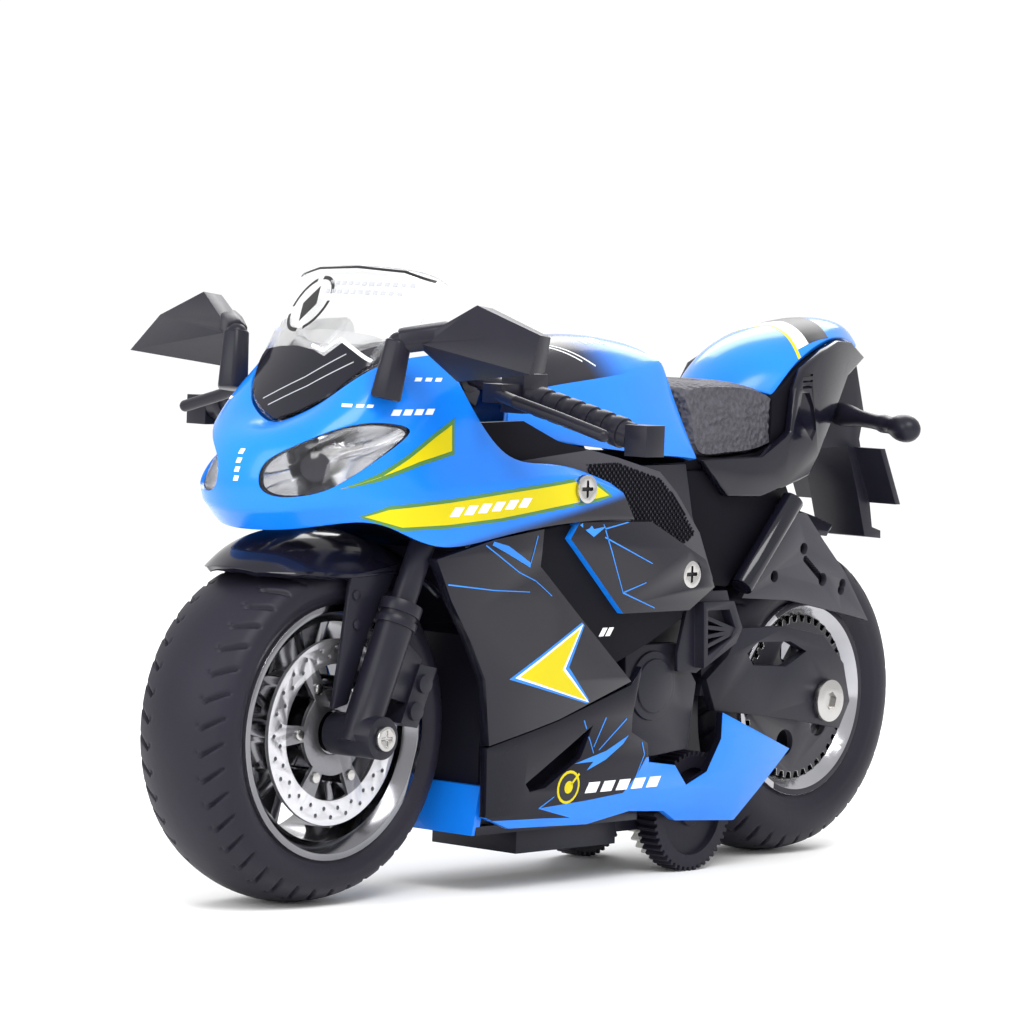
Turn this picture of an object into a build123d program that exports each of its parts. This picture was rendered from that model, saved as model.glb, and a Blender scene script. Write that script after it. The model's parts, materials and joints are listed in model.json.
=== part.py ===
from build123d import *
import os
from math import atan2, cos, degrees, hypot, pi, radians, sin

# Toy sport motorcycle, electric drive, about 1:13.6 scale. Millimetres.
# Frame: +X to the front wheel, +Y to the rider's left, +Z up.
# The origin is on the floor, midway between the two axles.

# ---------------------------------------------------------------- driving dimensions
WHEELBASE = 102.8
FRONT_X = WHEELBASE / 2
REAR_X = -WHEELBASE / 2
TYRE_RADIUS = 23.8
TYRE_HALF_WIDTH = 8.4
BEAD_HALF_WIDTH = 7.0
FRONT_BEAD_RADIUS = 16.2
REAR_BEAD_RADIUS = 13.6
AXLE_RADIUS = 1.0
RUNNING_FIT = 0.05

RAKE = 24.0
FORK_FOOT = (51.9, 24.0)
STEER_FOOT = (49.0, 24.0)
FORK_HALF_SPREAD = 12.6
SLIDER_RADIUS = 2.6
TUBE_RADIUS = 1.8
STEM_RADIUS = 2.0
YOKE_SPAN = (28.0, 32.0)
TUBE_TOP = 33.2
HEAD_SPAN = (33.4, 48.8)
CLAMP_SPAN = (49.2, 51.8)

DRIVE_X = -21.8
DRIVE_WHEEL_RADIUS = 8.8
DRIVE_WHEEL_Y = (7.9, 11.4)
DRIVE_WHEEL_TEETH = 48
GEAR_MODULE = 0.5
GEAR_TEETH = 28
PINION_TEETH = 8
GEAR_Y = (4.8, 6.4)
MOTOR_CENTRE_DISTANCE = GEAR_MODULE * (GEAR_TEETH + PINION_TEETH) / 2 + 0.12
MOTOR_DIRECTION = 53.0
MOTOR_X = DRIVE_X + MOTOR_CENTRE_DISTANCE * cos(radians(MOTOR_DIRECTION))
MOTOR_Z = DRIVE_WHEEL_RADIUS + MOTOR_CENTRE_DISTANCE * sin(radians(MOTOR_DIRECTION))

PANEL = 1.2
SCREW_HEAD_RADIUS = 2.0
SCREW_SHANK_RADIUS = 0.8
FAIRING_SCREW = (13.3, 56.9)
COVER_SCREW = (-12.4, 44.2)
MIRROR_STALK_RADIUS = 1.5


# ---------------------------------------------------------------- construction helpers
def prism(corners, sweep):
    """Solid swept from a flat polygon along a vector."""
    face = Face(Wire.make_polygon([Vector(*p) for p in corners], close=True))
    return Solid.extrude(face, Vector(*sweep))


def plate(outline, y_low, y_high):
    """Plate lying along the bike: an (x, z) outline between two y planes."""
    return prism([(x, y_low, z) for x, z in outline], (0, y_high - y_low, 0))


def block(x_span, y_span, z_span):
    """Box given by its extents."""
    size = [high - low for low, high in (x_span, y_span, z_span)]
    middle = [(high + low) / 2 for low, high in (x_span, y_span, z_span)]
    return Pos(*middle) * Box(*size)


def rod(start, end, radius):
    """Round bar between two points."""
    axis = Vector(*end) - Vector(*start)
    return Solid.make_cylinder(radius, axis.length, Plane(origin=Vector(*start), z_dir=axis))


def across_rod(x, z, y_low, y_high, radius):
    """Round bar parallel to the axles."""
    return rod((x, y_low, z), (x, y_high, z), radius)


def turned(profile, x, z):
    """Ring or disc turned about an axle line, from a list of (radius, y)."""
    face = Face(Wire.make_polygon([Vector(r, y, 0) for r, y in profile], close=True))
    return Pos(x, 0, z) * revolve(face, Axis.Y, 360)


def toothed(x, z, teeth, tip, root, y_span, land=0.12, foot=0.28):
    """Spur wheel blank: straight-sided teeth around an axle line."""
    outline = []
    for tooth in range(teeth):
        for share, radius in ((-foot, root), (-land, tip), (land, tip), (foot, root)):
            angle = 2 * pi * (tooth + share) / teeth - pi / 2
            outline.append((x + radius * cos(angle), z + radius * sin(angle)))
    return plate(outline, *y_span)


def polyhedron(corners, faces):
    """Closed solid with flat faces."""
    polygons = [Face(Wire.make_polygon([corners[i] for i in face], close=True)) for face in faces]
    return Solid(Shell(polygons))


def skin(rows, depth_from, depth_to):
    """Moulded shell below a grid of surface points, between two depths.

    Rows run from top to bottom, points from the right or the nose to the left rear,
    and None leaves a place empty.
    """
    index = {}
    surface = []
    for row_number, row in enumerate(rows):
        for column, point in enumerate(row):
            if point is not None:
                index[row_number, column] = len(surface)
                surface.append(Vector(*point))
    triangles = []
    for row_number in range(len(rows) - 1):
        for column in range(len(rows[0]) - 1):
            places = ((0, 0), (1, 0), (1, 1), (0, 1))
            corners = [index.get((row_number + down, column + along)) for down, along in places]
            if None not in corners:
                first, second, third, fourth = corners
                triangles += [(first, second, third), (first, third, fourth)]
    normals = [Vector(0, 0, 0) for _ in surface]
    for triangle in triangles:
        a, b, c = (surface[i] for i in triangle)
        for i in triangle:
            normals[i] += (b - a).cross(c - a)
    outer = [point - normal.normalized() * depth_from for point, normal in zip(surface, normals)]
    inner = [point - normal.normalized() * depth_to for point, normal in zip(surface, normals)]
    count = len(surface)
    faces = list(triangles)
    faces += [tuple(i + count for i in reversed(triangle)) for triangle in triangles]
    edges = {(t[i], t[(i + 1) % 3]) for t in triangles for i in range(3)}
    for start, end in edges:
        if (end, start) not in edges:
            faces.append((end, start, start + count))
            faces.append((end, start + count, end + count))
    return polyhedron(outer + inner, faces)


def from_ridge(lines):
    """Rows over both sides of the bike, from lines that start with the ridge on the centreline."""
    return [[(x, -y, z) for x, y, z in line] for line in reversed(lines[1:])] + lines


def across(row):
    """Full-width row from the left half of a symmetric one that starts on the centreline."""
    return [(x, -y, z) for x, y, z in reversed(row[1:])] + list(row)


def other_side(shape):
    """Mirror image on the right-hand side."""
    return mirror(shape, about=Plane.XZ)


def both(shape):
    """A left-hand piece and its mirror image, kept as two solids."""
    return Compound(children=[shape, other_side(shape)])


def along_line(foot, distance, ahead=0.0, y=0.0):
    """Point on a line leaning at the rake angle, given by its distance from the foot."""
    lean = radians(RAKE)
    x = foot[0] - distance * sin(lean) + ahead * cos(lean)
    z = foot[1] + distance * cos(lean) + ahead * sin(lean)
    return (x, y, z)


def raked_block(ahead_span, y_span, distance_span):
    """Box squared to the steering axis."""
    a, b = ahead_span
    low, high = distance_span
    corners = [along_line(STEER_FOOT, d, h, y_span[0]) for d, h in ((low, a), (low, b), (high, b), (high, a))]
    return prism(corners, (0, y_span[1] - y_span[0], 0))


def save(name, shape):
    """Write one node."""
    export_step(shape, f"parts/{name}.step")


# ---------------------------------------------------------------- wheels
def tyre(x, bead_radius):
    """Rounded road tyre that sits on its rim between the lips."""
    low, bead = bead_radius, BEAD_HALF_WIDTH
    shoulder = (TYRE_RADIUS - 1.5, TYRE_HALF_WIDTH - 1.7)
    side = (TYRE_RADIUS - 3.6, TYRE_HALF_WIDTH)
    edge = (low + 1.5, bead + 0.4)
    crown = ThreePointArc((shoulder[0], -shoulder[1]), (TYRE_RADIUS, 0), shoulder)
    left = ThreePointArc(shoulder, side, edge)
    right = ThreePointArc((edge[0], -edge[1]), (side[0], -side[1]), (shoulder[0], -shoulder[1]))
    seat = Polyline(edge, (low, bead), (low, -bead), (edge[0], -edge[1]))
    face = make_face(crown.edges() + left.edges() + right.edges() + seat.edges())
    return Pos(x, 0, TYRE_RADIUS) * revolve(face, Axis.Y, 360)


def rim(x, bead_radius, hub_radius, bore, hub_half_width):
    """Cast wheel: barrel, two lips, hub and five twin-leg spokes."""
    low, bead = bead_radius, BEAD_HALF_WIDTH
    well = low - 1.2
    half = [(low, bead), (low + 1.3, bead + 0.35), (low + 1.2, bead + 0.9), (low + 0.3, bead + 0.9),
            (well, bead - 0.6)]
    barrel = turned([(low, -bead)] + half + [(r, -y) for r, y in reversed(half[1:])], x, TYRE_RADIUS)
    spoke_half_width = 2.4
    hub_end = 4.0
    body = across_rod(x, TYRE_RADIUS, -spoke_half_width, spoke_half_width, hub_end + 1.6)
    body += across_rod(x, TYRE_RADIUS, -hub_half_width, hub_half_width, hub_radius)
    leg = [(4.0, -1.6), (8.6, -1.5), (low - 0.8, -4.2), (low - 0.8, -2.2), (9.4, -0.4),
           (9.4, 0.4), (low - 0.8, 2.2), (low - 0.8, 4.2), (8.6, 1.5), (4.0, 1.6)]
    for spoke in range(5):
        turn = radians(72 * spoke + 90)
        outline = [(x + r * cos(turn) - t * sin(turn), TYRE_RADIUS + r * sin(turn) + t * cos(turn))
                   for r, t in leg]
        body += plate(outline, -spoke_half_width, spoke_half_width)
    body += barrel
    return body - across_rod(x, TYRE_RADIUS, -20, 20, bore)


def brake_disc(x, y_inner, thickness, outer, ring_inner, tab_radius, tabs, hub_hole):
    """Drilled disc: braking ring, two rows of holes, and tabs that reach in to the hub."""
    y_outer = y_inner + thickness
    ring = across_rod(x, TYRE_RADIUS, y_inner, y_outer, outer)
    ring -= across_rod(x, TYRE_RADIUS, y_inner - 1, y_outer + 1, ring_inner)
    carrier = across_rod(x, TYRE_RADIUS, y_inner, y_outer, tab_radius - 1.0)
    for tab in range(tabs):
        turn = radians(360 / tabs * tab)
        direction = (cos(turn), sin(turn))
        inner_end, outer_end = tab_radius - 1.6, ring_inner + 0.5
        corners = [(inner_end, -1.0), (outer_end, -1.5), (outer_end, 1.5), (inner_end, 1.0)]
        outline = [(x + r * direction[0] - t * direction[1], TYRE_RADIUS + r * direction[1] + t * direction[0])
                   for r, t in corners]
        carrier += plate(outline, y_inner, y_outer)
    disc = ring + carrier - across_rod(x, TYRE_RADIUS, y_inner - 1, y_outer + 1, hub_hole)
    row_gap = (outer - ring_inner) / 3
    holes = 24
    for row in (1, 2):
        for hole in range(holes):
            turn = 2 * pi * (hole + row / 2) / holes
            r = ring_inner + row * row_gap
            disc -= across_rod(x + r * cos(turn), TYRE_RADIUS + r * sin(turn), y_inner - 1, y_outer + 1, 0.3)
    return disc


def ring_of_bolts(x, radius, count, y_span, bolt_radius):
    """Small round bolt heads on a circle around an axle line."""
    bolts = []
    for bolt in range(count):
        turn = 2 * pi * bolt / count
        place = (x + radius * cos(turn), TYRE_RADIUS + radius * sin(turn))
        bolts.append(across_rod(place[0], place[1], *y_span, bolt_radius))
    return bolts


FRONT_DISC_Y = 6.9
DISC_THICKNESS = 0.6
FRONT_DISC_RADIUS = 12.7
FRONT_BOLT_CIRCLE = 6.9


def front_wheel():
    hub_radius = 3.0
    bore = AXLE_RADIUS + RUNNING_FIT
    wheel = rim(FRONT_X, FRONT_BEAD_RADIUS, hub_radius, bore, 7.4)
    boss_radius = 1.3
    for boss in ring_of_bolts(FRONT_X, FRONT_BOLT_CIRCLE, 6, (-FRONT_DISC_Y, FRONT_DISC_Y), boss_radius):
        wheel += boss
    wheel += across_rod(FRONT_X, TYRE_RADIUS, -2.0, 2.0, FRONT_BOLT_CIRCLE + 1.0) - across_rod(
        FRONT_X, TYRE_RADIUS, -3.0, 3.0, bore)
    save("front_rim", wheel)
    save("front_tyre", tyre(FRONT_X, FRONT_BEAD_RADIUS))
    disc = brake_disc(FRONT_X, FRONT_DISC_Y, DISC_THICKNESS, FRONT_DISC_RADIUS, 9.3, FRONT_BOLT_CIRCLE, 6,
                      hub_radius + 0.05)
    save("front_brake_discs", both(disc))
    face = FRONT_DISC_Y + DISC_THICKNESS
    bolts = ring_of_bolts(FRONT_X, FRONT_BOLT_CIRCLE, 6, (face, face + 0.45), 0.75)
    save("front_disc_bolts", Compound(children=bolts + [other_side(bolt) for bolt in bolts]))


def rear_wheel():
    axle = 1.5
    hub_radius = 3.4
    save("rear_rim", rim(REAR_X, REAR_BEAD_RADIUS, hub_radius, axle + RUNNING_FIT, 7.6))
    save("rear_tyre", tyre(REAR_X, REAR_BEAD_RADIUS))
    sprocket = toothed(REAR_X, TYRE_RADIUS, 42, 12.3, 11.4, (5.6, 6.6), land=0.15, foot=0.3)
    sprocket -= across_rod(REAR_X, TYRE_RADIUS, 5, 7, hub_radius + 0.02)
    for opening in ring_of_bolts(REAR_X, 7.2, 5, (5, 7), 2.0):
        sprocket -= opening
    save("rear_sprocket", sprocket)
    disc = brake_disc(REAR_X, 5.4, DISC_THICKNESS, 10.2, 7.4, 5.6, 5, hub_radius + 0.02)
    save("rear_brake_disc", other_side(disc))


# ---------------------------------------------------------------- steering assembly
def fork_slider():
    """Lower fork leg with the axle lug and the fender ear."""
    y = FORK_HALF_SPREAD
    leg = rod(along_line(FORK_FOOT, -1.6, 0, y), along_line(FORK_FOOT, 18.6, 0, y), SLIDER_RADIUS)
    for low, high in ((15.6, 16.6), (17.4, 19.0)):
        leg += rod(along_line(FORK_FOOT, low, 0, y), along_line(FORK_FOOT, high, 0, y), SLIDER_RADIUS + 0.35)
    leg += across_rod(FRONT_X, TYRE_RADIUS, 8.0, 16.6, 2.9)
    ear = [along_line(FORK_FOOT, d, h) for d, h in ((6.0, 0), (7.0, -6.2), (13.5, -6.2), (15.0, 0))]
    leg += plate([(x, z) for x, _, z in ear], y - 0.9, y + 0.9)
    return leg - across_rod(FRONT_X, TYRE_RADIUS, 5, 20, AXLE_RADIUS)


def brake_caliper():
    """Caliper block astride the front disc, carried on the slider's ear."""
    corners = [along_line(FORK_FOOT, d, h) for d, h in ((4.6, -9.2), (4.0, -5.8), (12.6, -5.8), (13.4, -9.2))]
    outline = [(x, z) for x, _, z in corners]
    body = plate(outline, 8.6, 13.9)
    for distance in (6.4, 10.4):
        x, _, z = along_line(FORK_FOOT, distance, -7.4)
        body += across_rod(x, z, 13.4, 14.6, 1.3)
    ear = [along_line(FORK_FOOT, d, h) for d, h in ((6.0, 0), (7.0, -6.2), (13.5, -6.2), (15.0, 0))]
    y = FORK_HALF_SPREAD
    return body - plate([(x, z) for x, _, z in ear], y - 0.9, y + 0.9)


# Lengthwise lines of the front fender's left half, from the ridge to the lower edge.
FENDER_LINES = [
    [(66.2, 0, 46.1), (63.6, 0, 48.2), (58.6, 0, 50.5), (52.0, 0, 51.9), (44.0, 0, 51.2), (37.4, 0, 48.4),
     (33.2, 0, 45.6)],
    [(65.6, 2.2, 46.0), (63.2, 4.4, 47.7), (58.4, 6.6, 49.7), (52.0, 7.6, 50.8), (43.8, 7.6, 50.1),
     (37.2, 7.2, 47.7), (33.0, 7.0, 45.0)],
    [(64.6, 4.6, 45.7), (62.6, 7.6, 45.6), (58.6, 9.7, 45.5), (52.0, 10.4, 44.7), (44.2, 10.5, 45.6),
     (37.6, 10.2, 45.2), (33.0, 9.8, 42.0)],
]
FENDER_STAY = [(42.4, 46.4), (51.8, 45.4), (53.2, 35.0), (54.6, 27.2), (51.6, 27.8), (48.0, 37.5)]


def front_fender():
    """Arched mudguard with a pointed front end and a stay down each fork leg."""
    arch = skin(from_ridge(FENDER_LINES), 0, 1.0)
    upper = plate(FENDER_STAY, 9.3, 10.3)
    return arch + upper + other_side(upper)


def lower_yoke():
    """Clamp across both fork tubes, with the steering stem."""
    yoke = raked_block((-3.0, 5.0), (-14.9, 14.9), YOKE_SPAN)
    for side in (1, -1):
        y = side * FORK_HALF_SPREAD
        yoke -= rod(along_line(FORK_FOOT, 20, 0, y), along_line(FORK_FOOT, 40, 0, y), TUBE_RADIUS)
    stem = rod(along_line(STEER_FOOT, YOKE_SPAN[0]), along_line(STEER_FOOT, CLAMP_SPAN[1] + 0.6), STEM_RADIUS)
    return yoke + stem


def upper_clamp():
    """Top clamp that carries both clip-on bars."""
    clamp = raked_block((-3.2, 5.4), (-8.6, 8.6), CLAMP_SPAN)
    return clamp - rod(along_line(STEER_FOOT, 40), along_line(STEER_FOOT, 60), STEM_RADIUS)


BAR_ROOT = (30.8, 8.6, 73.0)
BAR_END = (28.8, 41.6, 64.9)
BAR_RADIUS = 1.3
GRIP_RADIUS = 2.1


def on_bar(share):
    """Point along the left bar, 0 at its root and 1 at its end."""
    return tuple(a + (b - a) * share for a, b in zip(BAR_ROOT, BAR_END))


def bar_pieces():
    bar = rod(BAR_ROOT, BAR_END, BAR_RADIUS)
    clip = rod(on_bar(-0.02), on_bar(0.10), BAR_RADIUS + 1.0)
    switch = block((26.4, 31.4), (17.8, 21.8), (67.6, 73.0))
    end_weight = block((26.9, 30.7), (39.4, 43.2), (62.9, 67.1))
    handlebar = bar + clip + switch + end_weight
    handlebar -= raked_block((-6, 8), (-8.6, 8.6), (CLAMP_SPAN[0] - 5, CLAMP_SPAN[1] + 5))
    grip = rod(on_bar(0.44), on_bar(0.93), GRIP_RADIUS - 0.3)
    for ring in range(6):
        start = 0.45 + ring * 0.078
        grip += rod(on_bar(start), on_bar(start + 0.045), GRIP_RADIUS)
    grip -= handlebar
    perch = block((31.4, 35.6), (18.1, 21.5), (69.0, 71.6))
    lever = perch
    route = [(34.6, 19.8, 70.2), (36.6, 25.0, 69.4), (35.4, 32.0, 67.5), (35.0, 39.2, 65.6)]
    for start, end in zip(route, route[1:]):
        lever += rod(start, end, 0.85)
        lever += Pos(*end) * Sphere(0.85)
    lever -= handlebar
    return handlebar, grip, lever


def steering_assembly():
    slider = fork_slider()
    save("fork_slider_left", slider)
    save("fork_slider_right", other_side(slider))
    y = FORK_HALF_SPREAD
    tube = rod(along_line(FORK_FOOT, 19.0, 0, y), along_line(FORK_FOOT, TUBE_TOP, 0, y), TUBE_RADIUS)
    save("fork_tubes", both(tube))
    save("brake_calipers", both(brake_caliper() - slider))
    fender = front_fender()
    for leg in (slider, other_side(slider)):
        fender -= leg
    save("front_fender", fender)
    save("lower_yoke", lower_yoke())
    save("upper_clamp", upper_clamp())
    axle = across_rod(FRONT_X, TYRE_RADIUS, -16.6, 16.6, AXLE_RADIUS)
    for side in (1, -1):
        head = across_rod(FRONT_X, TYRE_RADIUS, side * 16.6, side * 17.4, 1.7)
        slot = [block((FRONT_X - 1.1, FRONT_X + 1.1), sorted((side * 17.1, side * 18)), (23.6, 24.0)),
                block((FRONT_X - 0.2, FRONT_X + 0.2), sorted((side * 17.1, side * 18)), (22.7, 24.9))]
        axle += head - slot[0] - slot[1]
    save("front_axle", axle)
    handlebar, grip, lever = bar_pieces()
    save("handlebars", both(handlebar))
    save("hand_grips", both(grip))
    save("hand_levers", both(lever))


# ---------------------------------------------------------------- front bodywork
# Level lines of the cowl's left half, from the nose ridge back to the side tip.
COWL_LINES = [
    [(57.8, 0, 65.0), (56.9, 3.6, 66.4), (55.1, 7.2, 68.5), (50.8, 10.4, 73.0), (45.0, 12.4, 74.8),
     (38.6, 13.4, 75.3), None, None, None],
    [(62.0, 0, 64.4), (60.6, 4.4, 65.0), (57.6, 8.8, 66.6), (52.4, 12.9, 69.3), (45.2, 14.2, 71.2),
     (37.0, 14.4, 72.4), None, None, None],
    [(65.0, 0, 61.6), (63.4, 5.0, 62.2), (59.2, 9.8, 63.2), (53.4, 13.5, 65.6), (44.5, 15.0, 67.0),
     (34.4, 15.2, 68.0), None, None, None],
    [(66.0, 0, 57.4), (64.4, 5.2, 57.2), (59.8, 11.0, 57.8), (52.8, 14.4, 59.2), (43.4, 15.9, 60.8),
     (28.0, 16.8, 60.4), (20.0, 17.1, 60.2), (14.2, 17.2, 59.9), (6.6, 17.4, 57.6)],
    [(65.2, 0, 53.2), (63.4, 5.4, 53.4), (59.0, 11.2, 54.2), (51.8, 14.9, 55.2), (42.6, 16.5, 56.4),
     (31.0, 17.3, 57.4), (22.0, 17.9, 58.2), (13.5, 18.1, 58.7), (4.6, 17.9, 56.2)],
    [(62.8, 0, 49.9), (61.0, 5.4, 50.3), (57.2, 10.8, 51.6), (51.0, 14.7, 53.0), (42.3, 16.5, 48.0),
     (31.0, 17.3, 50.4), (22.0, 17.9, 51.8), (10.0, 18.0, 52.6), (1.6, 17.6, 52.4)],
]


def full_rows(rows):
    """Level lines over both sides of the bike."""
    return [[None if p is None else (p[0], -p[1], p[2]) for p in reversed(row[1:])] + list(row) for row in rows]


HEADLIGHT_RIM = [(64.2, 4.2, 56.6), (62.6, 7.2, 55.8), (58.4, 11.2, 56.8), (52.6, 13.8, 60.4), (46.4, 14.9, 64.8),
                 (50.6, 13.9, 66.0), (55.6, 11.8, 65.4), (60.4, 8.4, 63.2), (63.6, 4.8, 60.0)]
HEADLIGHT_AIM = (0.78, 0.61, 0.14)


def headlight_prism(shrink, deep=9.0, proud=5.0):
    """Almond-shaped prism through the cowl, aimed out of the headlight."""
    aim = Vector(*HEADLIGHT_AIM).normalized()
    points = [Vector(*p) for p in HEADLIGHT_RIM]
    centre = sum(points, Vector(0, 0, 0)) / len(points)
    flat = []
    for point in points:
        offset = point - centre
        offset -= aim * offset.dot(aim)
        flat.append(centre + offset * (1 - shrink / offset.length) - aim * deep)
    face = Face(Wire.make_polygon(flat, close=True))
    return Solid.extrude(face, aim * (deep + proud))


def screw_hole(place, head_face, side=1):
    """Clearance for a body screw: shank hole and head seat."""
    x, z = place
    shank = across_rod(x, z, side * (head_face - 9), side * (head_face + 4), SCREW_SHANK_RADIUS)
    seat = across_rod(x, z, side * head_face, side * (head_face + 4), SCREW_HEAD_RADIUS)
    return shank + seat


FAIRING_SCREW_FACE = 17.9
COVER_SCREW_FACE = 16.4


def body_screw(place, head_face, length):
    """Cross-head self-tapping screw, head outwards."""
    x, z = place
    head = across_rod(x, z, head_face, head_face + 0.8, SCREW_HEAD_RADIUS)
    arm, width, depth = 1.2, 0.25, 0.5
    top = head_face + 0.8
    head -= block((x - arm, x + arm), (top - depth, top + 1), (z - width, z + width))
    head -= block((x - width, x + width), (top - depth, top + 1), (z - arm, z + arm))
    return head + across_rod(x, z, head_face - length, head_face, SCREW_SHANK_RADIUS)


def front_bodywork():
    cowl = skin(full_rows(COWL_LINES), 0, PANEL)
    window = headlight_prism(0)
    cowl -= window
    cowl -= other_side(window)
    for side in (1, -1):
        cowl -= screw_hole(FAIRING_SCREW, FAIRING_SCREW_FACE, side)
    save("front_cowl", cowl)
    wing_mirror = mirror_piece()
    save("mirror_left", wing_mirror - cowl)
    save("mirror_right", other_side(wing_mirror) - cowl)
    nose_lines = [row[:6] for row in COWL_LINES[1:5]]
    lens = skin(nose_lines, 0.1, 0.9) & headlight_prism(0.12)
    save("headlight_lenses", both(lens))
    bowl = skin(nose_lines, 1.5, 4.4) & headlight_prism(0.5)
    bowl -= skin(nose_lines, 1.0, 3.8) & headlight_prism(1.2)
    save("headlight_reflectors", both(bowl))
    base = [(57.5, 0, 65.4), (56.6, 3.5, 66.7), (54.8, 7.0, 68.8), (50.6, 10.2, 73.3), (45.4, 12.2, 75.2)]
    middle = [(51.0, 0, 76.6), (50.2, 4.2, 77.0), (48.4, 8.2, 77.8), (45.4, 11.2, 79.4), (42.2, 12.9, 80.0)]
    top = [(41.6, 0, 87.0), (41.2, 4.6, 86.9), (40.4, 9.0, 86.6), (39.6, 12.2, 86.0), (38.6, 13.8, 84.8)]
    save("windshield", skin([across(top), across(middle), across(base)], 0, 0.7))
    hood_base = [(56.0, 0, 65.6), (55.2, 3.2, 66.8), (53.2, 6.2, 68.8), (49.2, 8.8, 72.8), (44.2, 10.6, 74.4)]
    hood_top = [(50.2, 0, 74.0), (49.6, 3.4, 74.6), (47.8, 6.2, 76.2), (45.2, 8.0, 77.0), (42.6, 9.0, 76.8)]
    dash = [(41.0, 0, 76.0), (40.8, 3.0, 76.0), (40.6, 5.4, 75.8), (40.4, 7.4, 75.4), (40.2, 8.6, 75.0)]
    save("instrument_panel", skin([across(dash), across(hood_top), across(hood_base)], 0, 1.0))


# ---------------------------------------------------------------- mirrors
def mirror_piece():
    """Wing mirror: foot on the cowl, bent stalk and wedge-shaped head."""
    foot, elbow, head = (50.7, 14.2, 69.4), (49.6, 15.2, 76.8), (45.2, 21.0, 78.0)
    stalk = rod(foot, elbow, MIRROR_STALK_RADIUS) + Pos(*elbow) * Sphere(MIRROR_STALK_RADIUS)
    stalk += rod(elbow, head, MIRROR_STALK_RADIUS)
    front = [(48.8, 17.2, 77.0), (44.4, 21.3, 71.9), (48.2, 37.4, 73.6), (44.3, 35.6, 78.7), (45.8, 25.6, 82.3)]
    rear = [(43.8, 18.4, 76.8), (41.2, 21.6, 72.2), (43.6, 36.0, 73.8), (41.0, 34.6, 78.4), (42.4, 25.4, 81.9)]
    corners = [Vector(*p) for p in front + rear]
    faces = [(0, 1, 2), (0, 2, 3), (0, 3, 4), (5, 7, 6), (5, 8, 7), (5, 9, 8)]
    for i in range(5):
        j = (i + 1) % 5
        faces += [(j, i, i + 5), (j, i + 5, j + 5)]
    return stalk + polyhedron(corners, faces)


# ---------------------------------------------------------------- side bodywork
# Half width of the side bodywork by height, at its widest station.
SIDE_LEVELS = [(6.0, 13.6), (12.0, 14.7), (20.0, 15.6), (30.0, 16.4), (40.0, 17.0), (48.0, 17.6), (54.0, 17.8)]
SIDE_STATIONS = [(46.0, 1.5), (34.0, 0.7), (20.0, 0.0), (0.0, 0.0), (-16.0, 0.1), (-28.0, 0.2), (-44.0, 0.6)]


def side_form(depth_from, depth_to):
    """Curved slab that every side panel is cut from."""
    rows = [[(x, half - narrow, z) for x, narrow in SIDE_STATIONS] for z, half in reversed(SIDE_LEVELS)]
    return skin(rows, depth_from, depth_to)


def side_panel(outline, depth_from=0.0, depth_to=PANEL):
    """Panel of the side form with the given (x, z) outline."""
    return side_form(depth_from, depth_to) & plate(outline, 5, 25)


FRONT_PANEL = [(41.6, 47.6), (38.2, 41.9), (33.9, 36.3), (30.3, 30.7), (28.3, 21.4), (14.3, 24.5), (-0.6, 29.2),
               (10.1, 37.5), (21.3, 46.2), (21.1, 51.4), (30.8, 50.1)]
REAR_PANEL = [(13.7, 52.2), (15.4, 49.9), (2.5, 39.0), (-12.4, 39.0), (-17.8, 42.2), (-15.2, 46.2), (-2.1, 52.0)]
SLOT_FLOOR = [(27.0, 50.2), (30.0, 40.0), (16.0, 33.0), (3.0, 31.5), (-5.0, 34.4), (-12.0, 37.6), (-14.0, 44.0),
              (0.0, 51.0), (16.0, 51.8)]
LOWER_PANEL = [(28.3, 21.1), (26.9, 11.2), (22.0, 9.4), (5.0, 8.9), (-4.0, 10.2), (-12.0, 9.7), (-15.1, 8.1),
               (-29.1, 7.2), (-40.3, 17.3), (-22.9, 23.6), (-23.2, 19.7), (-20.8, 15.0), (-16.3, 13.3),
               (-13.1, 16.4), (-7.0, 17.2), (-6.1, 20.1), (-2.3, 21.8), (-2.1, 24.1), (-3.2, 31.2),
               (-1.2, 28.7), (14.3, 24.2)]
LOWER_VENT = [(19.7, 15.6), (6.6, 23.2), (8.5, 18.6), (15.4, 14.8), (18.6, 14.4)]


def side_bodywork():
    slot_depth = 1.6
    upper = side_panel(FRONT_PANEL, 0, slot_depth)
    upper += side_panel(REAR_PANEL, 0, slot_depth)
    upper += side_panel(SLOT_FLOOR, slot_depth - 0.5, slot_depth + 0.5)
    cover_screw = screw_hole(COVER_SCREW, COVER_SCREW_FACE)
    upper -= cover_screw
    save("side_fairing_left", upper)
    save("side_fairing_right", other_side(upper))
    lower = side_panel(LOWER_PANEL, 0.3, 0.3 + PANEL)
    lower -= plate(LOWER_VENT, 5, 25)
    save("lower_fairing_left", lower)
    save("lower_fairing_right", other_side(lower))


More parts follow.
